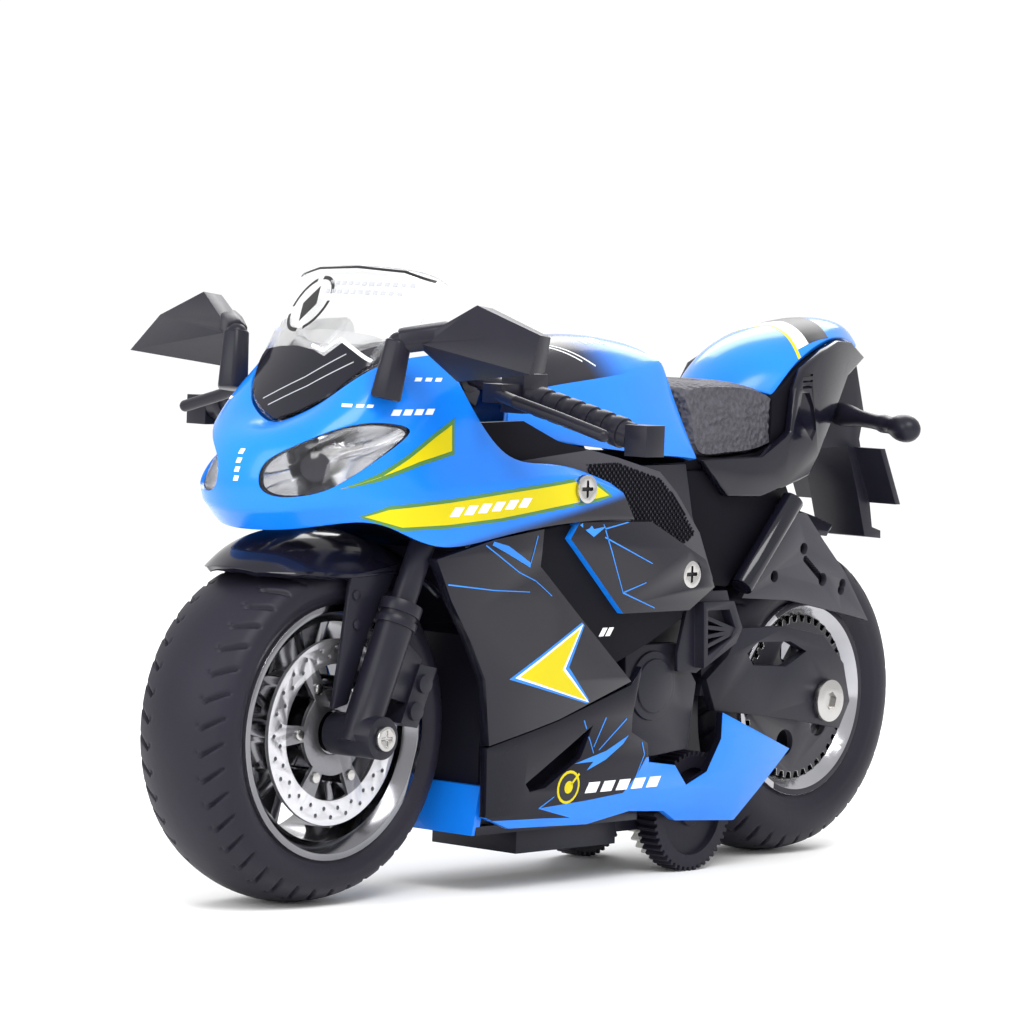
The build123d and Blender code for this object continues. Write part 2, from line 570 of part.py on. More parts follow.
# ---------------------------------------------------------------- tank, seat and tail
TANK_LINES = [
    [(21.0, 0, 72.5), (14.0, 0, 76.2), (5.0, 0, 78.0), (-4.0, 0, 78.4), (-12.5, 0, 77.2), (-15.2, 0, 71.5),
     (-19.6, 0, 62.8)],
    [(20.6, 5.0, 72.0), (14.0, 6.0, 75.4), (5.0, 6.6, 77.0), (-4.0, 6.2, 77.6), (-12.8, 5.0, 76.4),
     (-15.4, 5.6, 70.8), (-19.6, 6.4, 62.2)],
    [(20.4, 9.2, 69.4), (13.4, 10.9, 70.9), (5.0, 11.2, 71.8), (-4.0, 11.0, 72.8), (-13.6, 9.0, 74.4),
     (-16.2, 9.8, 68.2), (-19.8, 10.4, 61.6)],
    [(21.4, 10.6, 66.4), (13.6, 12.6, 66.6), (3.0, 12.9, 66.9), (-7.2, 12.4, 66.4), (-13.6, 11.2, 66.8),
     (-16.6, 11.0, 64.2), (-19.9, 10.8, 61.0)],
    [(22.0, 10.8, 64.3), (14.0, 12.2, 63.2), (5.0, 12.6, 62.3), (-4.0, 12.4, 61.6), (-11.0, 12.0, 61.0),
     (-15.5, 11.6, 60.8), (-19.9, 11.0, 60.4)],
]
HUMP_LINES = [
    [(-33.6, 0, 72.0), (-37.0, 0, 75.2), (-42.5, 0, 78.2), (-50.0, 0, 80.2), (-58.6, 0, 81.7), (-64.6, 0, 80.9),
     (-67.6, 0, 78.4)],
    [(-34.6, 5.0, 72.0), (-38.2, 5.5, 74.6), (-43.5, 6.0, 77.4), (-50.5, 6.0, 79.4), (-58.4, 5.5, 80.8),
     (-64.2, 4.3, 80.0), (-67.4, 3.0, 77.8)],
    [(-38.8, 9.0, 71.9), (-40.6, 9.4, 73.0), (-44.0, 9.4, 75.2), (-50.0, 9.0, 77.4), (-55.0, 8.2, 78.4),
     (-60.0, 6.8, 78.2), (-66.2, 4.2, 76.8)],
]
SEAT_SIDE = [(-21.0, 60.8), (-18.4, 66.6), (-16.4, 70.4), (-19.0, 71.2), (-26.4, 71.5), (-33.8, 70.8),
             (-38.6, 69.0), (-40.6, 66.0), (-39.6, 62.8), (-34.0, 61.0)]
TAIL_SIDE = [(-20.6, 60.2), (-27.0, 54.8), (-34.5, 54.7), (-46.7, 57.5), (-54.5, 66.5), (-59.4, 72.4),
             (-66.0, 75.2), (-60.2, 77.6), (-54.9, 77.8), (-49.8, 76.4), (-44.3, 73.6), (-42.4, 70.6),
             (-41.4, 64.2), (-34.5, 60.6)]
TAIL_STATIONS = [(-18.0, 11.6), (-40.0, 11.8), (-49.0, 10.9), (-57.0, 8.8), (-68.0, 5.6)]
FRAME_COVER = [(25.6, 55.6), (31.0, 60.6), (31.4, 66.0), (22.4, 66.2), (15.0, 63.4), (2.0, 61.0), (-7.8, 58.8),
               (-11.7, 55.8), (-17.3, 49.9), (-20.8, 43.1), (-19.4, 38.0), (-4.0, 36.0), (8.0, 44.0)]


def tank_and_tail():
    save("fuel_tank", skin(from_ridge(TANK_LINES), 0, PANEL))
    cover = plate(FRAME_COVER, 12.9, 14.3) - screw_hole(COVER_SCREW, COVER_SCREW_FACE)
    save("frame_cover_left", cover)
    save("frame_cover_right", other_side(cover))
    pad = chamfer(plate(SEAT_SIDE, -9.6, 9.6).faces().sort_by(Axis.Y)[0].edges(), 1.6)
    pad = chamfer(pad.faces().sort_by(Axis.Y)[-1].edges(), 1.6)
    save("seat_pad", pad)
    save("tail_cowl", skin(from_ridge(HUMP_LINES), 0, PANEL))
    form = [[(x, y, z) for x, y in TAIL_STATIONS] for z in (84.0, 50.0)]
    side = skin(form, 0, 1.6) & plate(TAIL_SIDE, 0, 20)
    save("tail_side_left", side)
    save("tail_side_right", other_side(side))


def rear_mudguard():
    """Tail hanger below the tail light, with the licence plate board."""
    hanger = [(-50.0, 66.4), (-58.4, 71.4), (-66.0, 73.8), (-68.3, 66.7), (-67.4, 62.6), (-70.7, 53.0),
              (-71.6, 49.0), (-73.8, 48.4), (-73.9, 47.2), (-69.8, 47.6), (-67.2, 55.0), (-64.4, 61.6),
              (-52.0, 61.0)]
    guard = plate(hanger, -4.6, 4.6)
    board = prism([(-66.2, -9.6, 61.4), (-67.4, -9.6, 61.4), (-71.9, -9.6, 52.8), (-70.7, -9.6, 52.8)],
                  (0, 19.2, 0))
    return guard + board


def indicator():
    """Indicator on a stalk: a T-shaped foot and a drop-shaped end."""
    stalk = rod((-60.2, 4.6, 67.0), (-57.4, 17.6, 65.4), 1.0)
    stalk += rod((-57.4, 17.2, 65.4), (-56.6, 19.4, 65.2), 1.5)
    ball = Pos(-56.2, 21.2, 65.0) * Sphere(2.5)
    return stalk + ball


# ---------------------------------------------------------------- rear running gear
SWINGARM_SIDE = [(-22.6, 28.2), (-27.3, 31.4), (-30.3, 35.4), (-41.0, 35.3), (-50.1, 33.7), (-53.3, 31.1),
                 (-55.5, 29.2), (-57.4, 23.4), (-55.0, 19.4), (-47.9, 20.6), (-36.0, 22.2), (-24.8, 23.5)]
SWINGARM_HOLE = [(-32.0, 31.6), (-34.4, 33.2), (-42.2, 33.0), (-46.2, 31.4), (-41.4, 29.3), (-33.5, 29.8)]


def swingarm():
    side = plate(SWINGARM_SIDE, 10.8, 12.4) - plate(SWINGARM_HOLE, 5, 15)
    side += across_rod(REAR_X, TYRE_RADIUS, 8.0, 12.4, 3.0)
    side -= across_rod(REAR_X, TYRE_RADIUS, 5, 15, 1.5)
    bridge = block((-26.6, -23.0), (-11.0, 11.0), (25.6, 30.2))
    return side + other_side(side) + bridge


def rear_hugger():
    """Close-fitting guard over the rear tyre, with holes and a slot in each side."""
    outline = [(-36.6, 43.8), (-38.4, 40.8), (-43.6, 38.6), (-58.9, 36.6), (-65.4, 36.2), (-63.8, 39.8),
               (-55.0, 48.0), (-47.0, 49.4), (-41.0, 47.6)]
    side = plate(outline, 9.1, 10.1)
    for x, z in ((-47.5, 46.6), (-40.6, 42.6), (-57.1, 40.1)):
        side -= across_rod(x, z, 8, 11, 0.9)
    side -= plate([(-46.1, 45.6), (-48.0, 45.6), (-53.2, 41.6), (-51.2, 41.6)], 8, 11)
    inner, outer = 24.7, 25.7
    arch = turned([(inner, -9.2), (outer, -9.2), (outer, 9.2), (inner, 9.2)], REAR_X, TYRE_RADIUS)
    reach = 40
    wedge = [(REAR_X, TYRE_RADIUS)]
    wedge += [(REAR_X + reach * cos(radians(a)), TYRE_RADIUS + reach * sin(radians(a))) for a in (58, 90, 138)]
    return (arch & plate(wedge, -15, 15)) + side + other_side(side)


def footpeg_bracket():
    """Triangular bracket with fins, and the foot peg."""
    base = [(-12.6, 30.0), (-12.4, 32.6), (-14.9, 41.4), (-23.3, 41.4), (-25.6, 36.0), (-24.0, 33.4), (-16.9, 29.6)]
    bracket = plate(base, 14.35, 15.0)
    frame = [(-15.8, 40.0), (-22.8, 40.0), (-25.0, 36.0), (-23.6, 33.8), (-16.4, 30.4)]
    middle = [(-16.8, 38.8), (-21.8, 38.8), (-23.4, 36.0), (-22.4, 34.6), (-17.2, 32.2)]
    bracket += plate(frame, 14.8, 16.8) - plate(middle, 14, 18)
    hub = (-24.0, 35.6)
    for fin_z in (33.4, 34.9, 36.4, 37.8):
        x, z = -16.6, fin_z
        length = hypot(x - hub[0], z - hub[1])
        across_x, across_z = (z - hub[1]) / length * 0.3, (hub[0] - x) / length * 0.3
        fin = [(hub[0] + across_x, hub[1] + across_z), (hub[0] - across_x, hub[1] - across_z),
               (x - across_x, z - across_z), (x + across_x, z + across_z)]
        bracket += plate(fin, 14.8, 16.6)
    return bracket


def engine_cover():
    """Round crankcase cover with its casing."""
    cover = across_rod(-8.6, 28.0, 12.0, 13.9, 5.0)
    cover += across_rod(-8.6, 28.0, 13.8, 14.3, 3.9)
    casing = [(-2.6, 34.0), (-14.0, 34.0), (-19.0, 28.0), (-17.6, 18.4), (-9.0, 17.6), (-3.4, 21.4)]
    return cover + plate(casing, 11.6, 13.4)


# ---------------------------------------------------------------- frame and drive
def chassis():
    """Moulded frame: battery tub, gearbox cell, side plates and steering head."""
    tub = block((-10.0, 25.0), (-10.5, 10.5), (9.8, 36.0)) - block((-8.8, 23.8), (-9.3, 9.3), (5.0, 34.8))
    wheel_space = across_rod(REAR_X, TYRE_RADIUS, -20, 20, TYRE_RADIUS + 0.7)
    cavity = block((-31.8, -10.0), (-6.9, 6.7), (5.0, 24.4))
    cavity -= across_rod(REAR_X, TYRE_RADIUS, -20, 20, TYRE_RADIUS + 1.5)
    cell = block((-31.4, -9.0), (-7.5, 7.5), (6.2, 25.6)) - wheel_space - cavity
    cell -= across_rod(DRIVE_X, DRIVE_WHEEL_RADIUS, -9, 9, AXLE_RADIUS + RUNNING_FIT)
    rail = [(24.0, 34.0), (26.0, 46.0), (29.2, 56.0), (30.2, 62.0), (26.0, 63.4), (16.0, 60.4), (0.0, 59.4),
            (-18.0, 59.6), (-20.0, 52.0), (-26.0, 40.0), (-26.0, 33.4), (-9.6, 26.0), (-9.6, 33.0)]
    seat_rail = [(-14.0, 59.6), (-36.0, 60.2), (-49.6, 62.6), (-49.6, 60.2), (-36.0, 55.8), (-16.0, 52.0)]
    plates = plate(rail, 9.2, 10.6) + plate(seat_rail, 7.6, 9.2)
    frame = tub + cell + plates + other_side(plates)
    frame += block((24.4, 29.0), (-10.0, 10.0), (56.4, 62.4))
    frame += rod(along_line(STEER_FOOT, HEAD_SPAN[0]), along_line(STEER_FOOT, HEAD_SPAN[1]), 4.0)
    frame += block((-28.0, -22.0), (-10.0, 10.0), (34.4, 38.6))
    frame += block((-49.6, -45.4), (-8.6, 8.6), (60.4, 62.0))
    frame += block((-9.9, -6.0), (-10.0, 10.0), (33.6, 35.9))
    frame -= rod(along_line(STEER_FOOT, HEAD_SPAN[0] - 8), along_line(STEER_FOOT, HEAD_SPAN[1] + 8),
                 STEM_RADIUS + RUNNING_FIT)
    return frame


def drive_train():
    y_low, y_high = DRIVE_WHEEL_Y
    wheel = toothed(DRIVE_X, DRIVE_WHEEL_RADIUS, DRIVE_WHEEL_TEETH, DRIVE_WHEEL_RADIUS, DRIVE_WHEEL_RADIUS - 0.6,
                    (y_low, y_high), land=0.2, foot=0.3)
    wheel -= across_rod(DRIVE_X, DRIVE_WHEEL_RADIUS, y_high - 0.8, y_high + 1, 6.4)
    wheel += across_rod(DRIVE_X, DRIVE_WHEEL_RADIUS, y_low, y_high - 0.2, 2.2)
    wheel -= across_rod(DRIVE_X, DRIVE_WHEEL_RADIUS, y_low - 1, y_high - 0.6, AXLE_RADIUS)
    save("drive_wheels", both(wheel))
    shaft_end = y_high - 0.6
    save("drive_shaft", across_rod(DRIVE_X, DRIVE_WHEEL_RADIUS, -shaft_end, shaft_end, AXLE_RADIUS))
    pitch = GEAR_MODULE * GEAR_TEETH / 2
    gear = toothed(DRIVE_X, DRIVE_WHEEL_RADIUS, GEAR_TEETH, pitch + 0.4, pitch - 0.6, GEAR_Y)
    gear = gear.rotate(Axis((DRIVE_X, 0, DRIVE_WHEEL_RADIUS), (0, 1, 0)), -(MOTOR_DIRECTION + 90))
    gear -= across_rod(DRIVE_X, DRIVE_WHEEL_RADIUS, 4, 7, AXLE_RADIUS)
    save("drive_gear", gear)
    pitch = GEAR_MODULE * PINION_TEETH / 2
    pinion = toothed(MOTOR_X, MOTOR_Z, PINION_TEETH, pitch + 0.4, pitch - 0.65, (GEAR_Y[0] - 0.2, GEAR_Y[1]))
    half_tooth = 180 / PINION_TEETH
    pinion = pinion.rotate(Axis((MOTOR_X, 0, MOTOR_Z), (0, 1, 0)), -(MOTOR_DIRECTION - 90 + half_tooth))
    motor_shaft = 0.5
    pinion -= across_rod(MOTOR_X, MOTOR_Z, 4, 7, motor_shaft + 0.02)
    save("motor_pinion", pinion)
    can = block((MOTOR_X - 5.0, MOTOR_X + 5.0), (-6.8, 3.4), (MOTOR_Z - 4.0, MOTOR_Z + 4.0))
    can = chamfer(can.edges().filter_by(Axis.Y), 1.4)
    can += across_rod(MOTOR_X, MOTOR_Z, 3.4, 4.1, 1.6)
    can += across_rod(MOTOR_X, MOTOR_Z, 4.0, 6.3, motor_shaft)
    save("motor", can)


def belly():
    """Floor tray with the front wall, the battery hatch and the power switch."""
    tray = block((-9.0, 26.0), (-11.4, 11.4), (8.4, 9.6))
    front_wall = [(25.2, -11.2, 8.4), (25.2, 11.2, 8.4), (25.2, 12.4, 15.4), (25.2, -12.4, 15.4)]
    nose = prism(front_wall, (1.4, 0, 0))
    hatch_opening = block((-6.0, 12.0), (-6.0, 6.0), (8.0, 10.0))
    switch_slot = block((17.2, 22.0), (-1.1, 1.1), (8.0, 10.0))
    save("belly_pan", tray + nose - hatch_opening - switch_slot)
    hatch = block((-8.4, 13.4), (-8.0, 8.0), (4.6, 8.35)) - block((-7.4, 12.4), (-7.0, 7.0), (5.6, 9.0))
    hatch += block((-5.8, 11.8), (-5.8, 5.8), (4.7, 5.7))
    save("battery_hatch", hatch)
    knob = block((17.4, 19.8), (-1.0, 1.0), (7.2, 9.9))
    knob += block((17.3, 19.9), (-2.2, 2.2), (9.75, 10.6))
    save("power_switch", knob)
    save("battery_pack", chamfer(block((-5.0, 14.0), (-6.5, 6.5), (11.0, 18.0)).edges().filter_by(Axis.X), 1.2))
    board = block((-6.0, 20.0), (-8.0, 8.0), (23.0, 24.0))
    for x, y, half, tall in ((2.0, 0.0, 2.4, 1.2), (10.0, 4.0, 1.6, 1.0), (14.0, -4.0, 1.2, 2.4)):
        board += block((x - half, x + half), (y - half, y + half), (24.0, 24.0 + tall))
    save("circuit_board", board)


def main():
    os.makedirs("parts", exist_ok=True)
    front_wheel()
    rear_wheel()
    steering_assembly()
    front_bodywork()
    side_bodywork()
    tank_and_tail()
    guard = rear_mudguard()
    save("rear_mudguard", guard)
    save("indicators", both(indicator() - guard))
    save("swingarm", swingarm())
    axle = across_rod(REAR_X, TYRE_RADIUS, -12.5, 12.5, 1.5)
    for side in (1, -1):
        axle += across_rod(REAR_X, TYRE_RADIUS, side * 12.4, side * 13.4, 3.2)
    save("rear_axle", axle)
    save("rear_hugger", rear_hugger())
    save("subframe_struts", both(rod((-30.6, 11.8, 41.4), (-42.2, 11.8, 54.2), 1.7)))
    bracket = footpeg_bracket()
    save("footpeg_bracket_left", bracket)
    save("footpeg_bracket_right", other_side(bracket))
    save("engine_covers", both(engine_cover()))
    screws = [body_screw(FAIRING_SCREW, FAIRING_SCREW_FACE, 3.0), body_screw(COVER_SCREW, COVER_SCREW_FACE, 5.0)]
    save("body_screws", Compound(children=screws + [other_side(screw) for screw in screws]))
    save("chassis_frame", chassis())
    drive_train()
    belly()


main()
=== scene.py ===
import json
import math

import bmesh
import bpy
from mathutils import Matrix, Vector
from mathutils.bvhtree import BVHTree
from mathutils.geometry import delaunay_2d_cdt


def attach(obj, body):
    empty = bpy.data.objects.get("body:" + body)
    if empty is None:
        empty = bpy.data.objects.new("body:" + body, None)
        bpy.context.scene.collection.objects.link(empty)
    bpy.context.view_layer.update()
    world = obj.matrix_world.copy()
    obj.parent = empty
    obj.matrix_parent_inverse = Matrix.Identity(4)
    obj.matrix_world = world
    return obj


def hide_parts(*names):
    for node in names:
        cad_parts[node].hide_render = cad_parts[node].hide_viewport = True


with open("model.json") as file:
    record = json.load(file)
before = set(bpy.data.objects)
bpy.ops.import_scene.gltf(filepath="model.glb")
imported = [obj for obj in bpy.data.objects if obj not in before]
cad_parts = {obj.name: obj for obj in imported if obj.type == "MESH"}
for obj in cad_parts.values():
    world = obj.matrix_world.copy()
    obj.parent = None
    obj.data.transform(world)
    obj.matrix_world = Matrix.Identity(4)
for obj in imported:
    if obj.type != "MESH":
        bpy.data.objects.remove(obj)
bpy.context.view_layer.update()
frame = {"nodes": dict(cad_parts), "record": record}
NODES = frame["nodes"]
BODY_OF = {node: body for body, nodes in frame["record"]["behaviour"]["bodies"].items() for node in nodes}
SLOT_OF = {entry["node"]: entry["material_slot"] for entry in frame["record"]["subparts"]}
MM = 0.001
SIDES = ((1, "left"), (-1, "right"))


# ---------------------------------------------------------------- materials
def new_material(name):
    """Material with a Principled shader; returns the material, its nodes, links and shader."""
    material = bpy.data.materials.new(name)
    material.use_nodes = True
    tree = material.node_tree
    return material, tree.nodes, tree.links, tree.nodes["Principled BSDF"]


def set_inputs(node, **values):
    """Set sockets by name; an underscore stands for a blank."""
    for name, value in values.items():
        node.inputs[name.replace("_", " ")].default_value = value


def own_place(nodes, links, target):
    """Feed a socket with the place on the object, in its own coordinates."""
    links.new(nodes.new("ShaderNodeTexCoord").outputs["Object"], target)


def noise(nodes, links, scale, detail=3.0):
    """Noise over the object's own coordinates, scale in cells per metre."""
    texture = nodes.new("ShaderNodeTexNoise")
    set_inputs(texture, Scale=scale, Detail=detail)
    own_place(nodes, links, texture.inputs["Vector"])
    return texture


def add_bump(nodes, links, height, shader, strength, distance):
    bump = nodes.new("ShaderNodeBump")
    set_inputs(bump, Strength=strength, Distance=distance)
    links.new(height, bump.inputs["Height"])
    links.new(bump.outputs["Normal"], shader.inputs["Normal"])


def two_tone(nodes, links, factor, dark, light, shader):
    """Base colour that goes from dark to light with a factor."""
    ramp = nodes.new("ShaderNodeValToRGB")
    for end, position, tone in zip(ramp.color_ramp.elements, (0.3, 0.7), (dark, light)):
        end.position = position
        end.color = (*tone, 1)
    links.new(factor, ramp.inputs["Fac"])
    links.new(ramp.outputs["Color"], shader.inputs["Base Color"])


def moulded(name, colour, roughness=0.3, metallic=0.0, coat=0.0, grain=0.02, grain_scale=900.0, tint=0.12,
            specular=0.5):
    """Moulded or plated surface: small changes of tone and gloss, and a fine bump."""
    material, nodes, links, shader = new_material(name)
    set_inputs(shader, Metallic=metallic, Coat_Weight=coat, Coat_Roughness=0.06, Specular_IOR_Level=specular)
    broad = noise(nodes, links, 90.0).outputs["Fac"]
    dark = [c * (1 - tint) for c in colour]
    light = [min(1, c * (1 + tint)) for c in colour]
    two_tone(nodes, links, broad, dark, light, shader)
    gloss = nodes.new("ShaderNodeMapRange")
    set_inputs(gloss, To_Min=roughness * 0.85, To_Max=roughness * 1.2)
    links.new(broad, gloss.inputs["Value"])
    links.new(gloss.outputs["Result"], shader.inputs["Roughness"])
    add_bump(nodes, links, noise(nodes, links, grain_scale).outputs["Fac"], shader, grain, 0.0002)
    return material


DISC_LOOK = {"roughness": 0.32, "metallic": 0.9, "grain": 0.2, "grain_scale": 2500.0}
AZURE = (0.006, 0.19, 0.8)
DISC_TONE = (0.6, 0.6, 0.63)
SMOKE = (0.2, 0.2, 0.215)
JET = (0.006, 0.0058, 0.012)


def mix_below(material, colour, value, level, width):
    """Change a material's colour where a node's value is below a level, in millimetres."""
    nodes, links = material.node_tree.nodes, material.node_tree.links
    shader = nodes["Principled BSDF"]
    paint = shader.inputs["Base Color"].links[0].from_socket
    step = nodes.new("ShaderNodeMapRange")
    step.interpolation_type = "SMOOTHSTEP"
    set_inputs(step, From_Min=(level - width) * MM, From_Max=(level + width) * MM)
    links.new(value, step.inputs["Value"])
    mix = nodes.new("ShaderNodeMix")
    mix.data_type = "RGBA"
    set_inputs(mix, A=(*colour, 1))
    links.new(step.outputs["Result"], mix.inputs["Factor"])
    links.new(paint, mix.inputs["B"])
    links.new(mix.outputs["Result"], shader.inputs["Base Color"])


def faded(name, normal, level, width):
    """Azure paint that fades to black below a slanting level: normal . place < level, in millimetres."""
    material = moulded(name, AZURE, roughness=0.2, coat=0.12, grain=0.01, tint=0.05, specular=0.25)
    nodes, links = material.node_tree.nodes, material.node_tree.links
    dot = nodes.new("ShaderNodeVectorMath")
    dot.operation = "DOT_PRODUCT"
    dot.inputs[1].default_value = normal
    own_place(nodes, links, dot.inputs[0])
    mix_below(material, JET, dot.outputs["Value"], level, width)
    return material


def ringed(name, x, z, radius):
    """Brake disc steel with a smoked carrier inside a radius about a cross axle, in millimetres."""
    material = moulded(name, DISC_TONE, **DISC_LOOK)
    nodes, links = material.node_tree.nodes, material.node_tree.links
    flat = nodes.new("ShaderNodeVectorMath")
    flat.operation = "MULTIPLY_ADD"
    flat.inputs[1].default_value = (1, 0, 1)
    flat.inputs[2].default_value = (-x * MM, 0, -z * MM)
    own_place(nodes, links, flat.inputs[0])
    reach = nodes.new("ShaderNodeVectorMath")
    reach.operation = "LENGTH"
    links.new(flat.outputs["Vector"], reach.inputs[0])
    mix_below(material, SMOKE, reach.outputs["Value"], radius, 0.1)
    return material


def clear_plastic(name, tint):
    """Thin clear moulding."""
    material, nodes, links, shader = new_material(name)
    broad = noise(nodes, links, 120.0).outputs["Fac"]
    two_tone(nodes, links, broad, [c * 0.97 for c in tint], tint, shader)
    set_inputs(shader, Roughness=0.03, IOR=1.3, Transmission_Weight=1.0, Alpha=0.5)
    return material


def grained(name):
    """Moulded leather grain of the saddle."""
    material, nodes, links, shader = new_material(name)
    broad = noise(nodes, links, 1400.0, 5.0).outputs["Fac"]
    two_tone(nodes, links, broad, (0.028, 0.027, 0.035), (0.075, 0.072, 0.09), shader)
    cells = nodes.new("ShaderNodeTexVoronoi")
    set_inputs(cells, Scale=1300.0)
    set_inputs(shader, Roughness=0.6)
    own_place(nodes, links, cells.inputs["Vector"])
    add_bump(nodes, links, cells.outputs["Distance"], shader, 1.0, 0.0003)
    return material


BLUE = moulded("blue_gloss", AZURE, roughness=0.18, coat=0.15, grain=0.01, tint=0.05, specular=0.3)
WING_BLUE = faded("wing_paint", (0.2, 0, 1), 56.9, 1.0)
TANK_TOP = faded("tank_top_paint", (-1, 0, 0), 0.5, 5.0)
BLACK_PAINT = moulded("black_paint", JET, roughness=0.24, grain=0.01, specular=0.2)
BLACK_GLOSS = moulded("black_gloss", JET, roughness=0.13, coat=0.1, specular=0.3)
BLACK_SATIN = moulded("black_satin", (0.011, 0.0105, 0.018), roughness=0.36, grain=0.06, specular=0.22)
BLACK_MATT = moulded("black_matt", (0.004, 0.004, 0.007), roughness=0.6, grain=0.05, specular=0.08)
GREY_SATIN = moulded("grey_satin", (0.03, 0.029, 0.039), roughness=0.42, grain=0.08, specular=0.4)
RUBBER = moulded("rubber", (0.011, 0.0097, 0.0175), roughness=0.5, grain=0.12, specular=0.22)
CHROME = moulded("plated", (0.8, 0.8, 0.81), roughness=0.1, metallic=1.0)
DARK_CHROME = moulded("smoked_plating", SMOKE, roughness=0.16, metallic=1.0)
BARREL = moulded("barrel_plating", (0.36, 0.36, 0.38), roughness=0.14, metallic=1.0)
STEEL = moulded("bright_steel", (0.46, 0.45, 0.44), roughness=0.22, metallic=1.0)
DISC_STEEL = moulded("disc_steel", DISC_TONE, **DISC_LOOK)
SEAT = grained("seat_grain")
BRASS = moulded("brass", (0.6, 0.42, 0.16), roughness=0.3, metallic=1.0)
BOARD = moulded("board_green", (0.01, 0.1, 0.03), roughness=0.4)
CELL = moulded("cell_wrap", (0.2, 0.22, 0.25), roughness=0.35)
ACETAL = moulded("acetal", (0.75, 0.75, 0.7), roughness=0.45)
SCREEN = clear_plastic("clear_screen", (0.97, 0.98, 1.0))
LENS = clear_plastic("headlight_lens", (0.92, 0.93, 0.95))
YELLOW = moulded("print_yellow", (0.62, 0.52, 0.004), roughness=0.3, tint=0.04, specular=0.15)
OLIVE = moulded("print_olive", (0.07, 0.2, 0.05), roughness=0.3, specular=0.3)
WHITE = moulded("print_white", (0.85, 0.88, 0.9), roughness=0.3, tint=0.02, specular=0.3)
SKY = moulded("print_sky", (0.03, 0.22, 0.72), roughness=0.3, specular=0.2)
FAINT = moulded("print_faint", (0.42, 0.43, 0.46), roughness=0.4, specular=0.2)
# Black print ink; also used as painted shade in the cross recesses of the screw heads.
INK_AND_SHADE = moulded("print_ink_and_shade", (0.01, 0.01, 0.011), roughness=0.35, specular=0.3)

SURFACES = {
    "blue_gloss": BLUE, "black_gloss": BLACK_GLOSS, "black_satin": BLACK_SATIN, "tyre": RUBBER,
    "dark_chrome": CHROME, "steel": STEEL, "seat_grain": SEAT, "reflector": STEEL, "clear": SCREEN,
    "brass": BRASS, "board": BOARD, "cell_wrap": CELL, "white_gear": ACETAL,
}
for node, slot_name in SLOT_OF.items():
    NODES[node].data.materials.clear()
    NODES[node].data.materials.append(SURFACES[slot_name])


# ---------------------------------------------------------------- pieces
def linked(name, data):
    """New object in the scene."""
    thing = bpy.data.objects.new(name, data)
    bpy.context.scene.collection.objects.link(thing)
    return thing


def flipped(point):
    """The same place on the other side of the bike."""
    return (point[0], -point[1], point[2])


def add_piece(name, mesh, body, materials, replaced=()):
    """Link a mesh as a piece that rides on a body."""
    thing = linked(name, mesh)
    mesh.materials.clear()
    for material in materials:
        mesh.materials.append(material)
    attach(thing, body)
    if replaced:
        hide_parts(*replaced)
    return thing


def mesh_of(name, points, faces):
    """Mesh from points in millimetres."""
    mesh = bpy.data.meshes.new(name)
    mesh.from_pydata([Vector(p) * MM for p in points], [], faces)
    mesh.update()
    return mesh


def closed_mesh(name, points, faces):
    """Mesh of a closed form, with its faces turned outwards."""
    mesh = mesh_of(name, points, faces)
    work = bmesh.new()
    work.from_mesh(mesh)
    bmesh.ops.recalc_face_normals(work, faces=work.faces)
    work.to_mesh(mesh)
    work.free()
    return mesh


def settle(thing, sharp_angle=32):
    """Apply the piece's modifiers and shade it smooth up to an angle."""
    bpy.context.view_layer.update()
    graph = bpy.context.evaluated_depsgraph_get()
    mesh = bpy.data.meshes.new_from_object(thing.evaluated_get(graph))
    thing.modifiers.clear()
    old = thing.data
    thing.data = mesh
    bpy.data.meshes.remove(old)
    mesh.name = thing.name
    mesh.shade_smooth()
    mesh.set_sharp_from_angle(angle=math.radians(sharp_angle))
    return thing


def soften(thing, width, segments=2, angle=35):
    """Round a piece's edges that are sharper than an angle, and apply it."""
    modifier = thing.modifiers.new("soften", "BEVEL")
    modifier.width = width * MM
    modifier.segments = segments
    modifier.limit_method = "ANGLE"
    modifier.angle_limit = math.radians(angle)
    modifier.harden_normals = False
    return settle(thing)


def clean_copy(node):
    """Welded copy of a CAD node's mesh with its flat faces rejoined."""
    mesh = NODES[node].data.copy()
    work = bmesh.new()
    work.from_mesh(mesh)
    bmesh.ops.remove_doubles(work, verts=work.verts, dist=1e-6)
    bmesh.ops.dissolve_limit(work, angle_limit=math.radians(0.6), verts=work.verts, edges=work.edges)
    work.to_mesh(mesh)
    work.free()
    return mesh


def refined(node, materials, width, segments=2, angle=35):
    """Copy of a CAD node with softened edges, standing in its place."""
    materials = materials or [SURFACES[SLOT_OF[node]]]
    thing = add_piece(node + "_shaped", clean_copy(node), BODY_OF[node], materials, [node])
    return soften(thing, width, segments, angle)


def paint_faces(thing, chosen, index):
    """Give the faces that chosen(centre in mm, normal) picks the material at index."""
    for face in thing.data.polygons:
        if chosen(face.center / MM, face.normal):
            face.material_index = index


def paint_region(thing, outline, index, chosen):
    """Score the piece along an (x, z) outline and give the chosen faces inside it the material at index."""
    work = bmesh.new()
    work.from_mesh(thing.data)
    outline = [Vector(p) for p in outline]
    for a, b in zip(outline, outline[1:] + outline[:1]):
        across = Vector((-(b - a).y, 0, (b - a).x)).normalized()
        bmesh.ops.bisect_plane(work, geom=work.verts[:] + work.edges[:] + work.faces[:], dist=1e-7,
                               plane_co=Vector((a.x, 0, a.y)) * MM, plane_no=across)
    for face in work.faces:
        centre = face.calc_center_median() / MM
        if chosen(centre, face.normal) and inside_outline((centre.x, centre.z), outline):
            face.material_index = index
    work.to_mesh(thing.data)
    work.free()


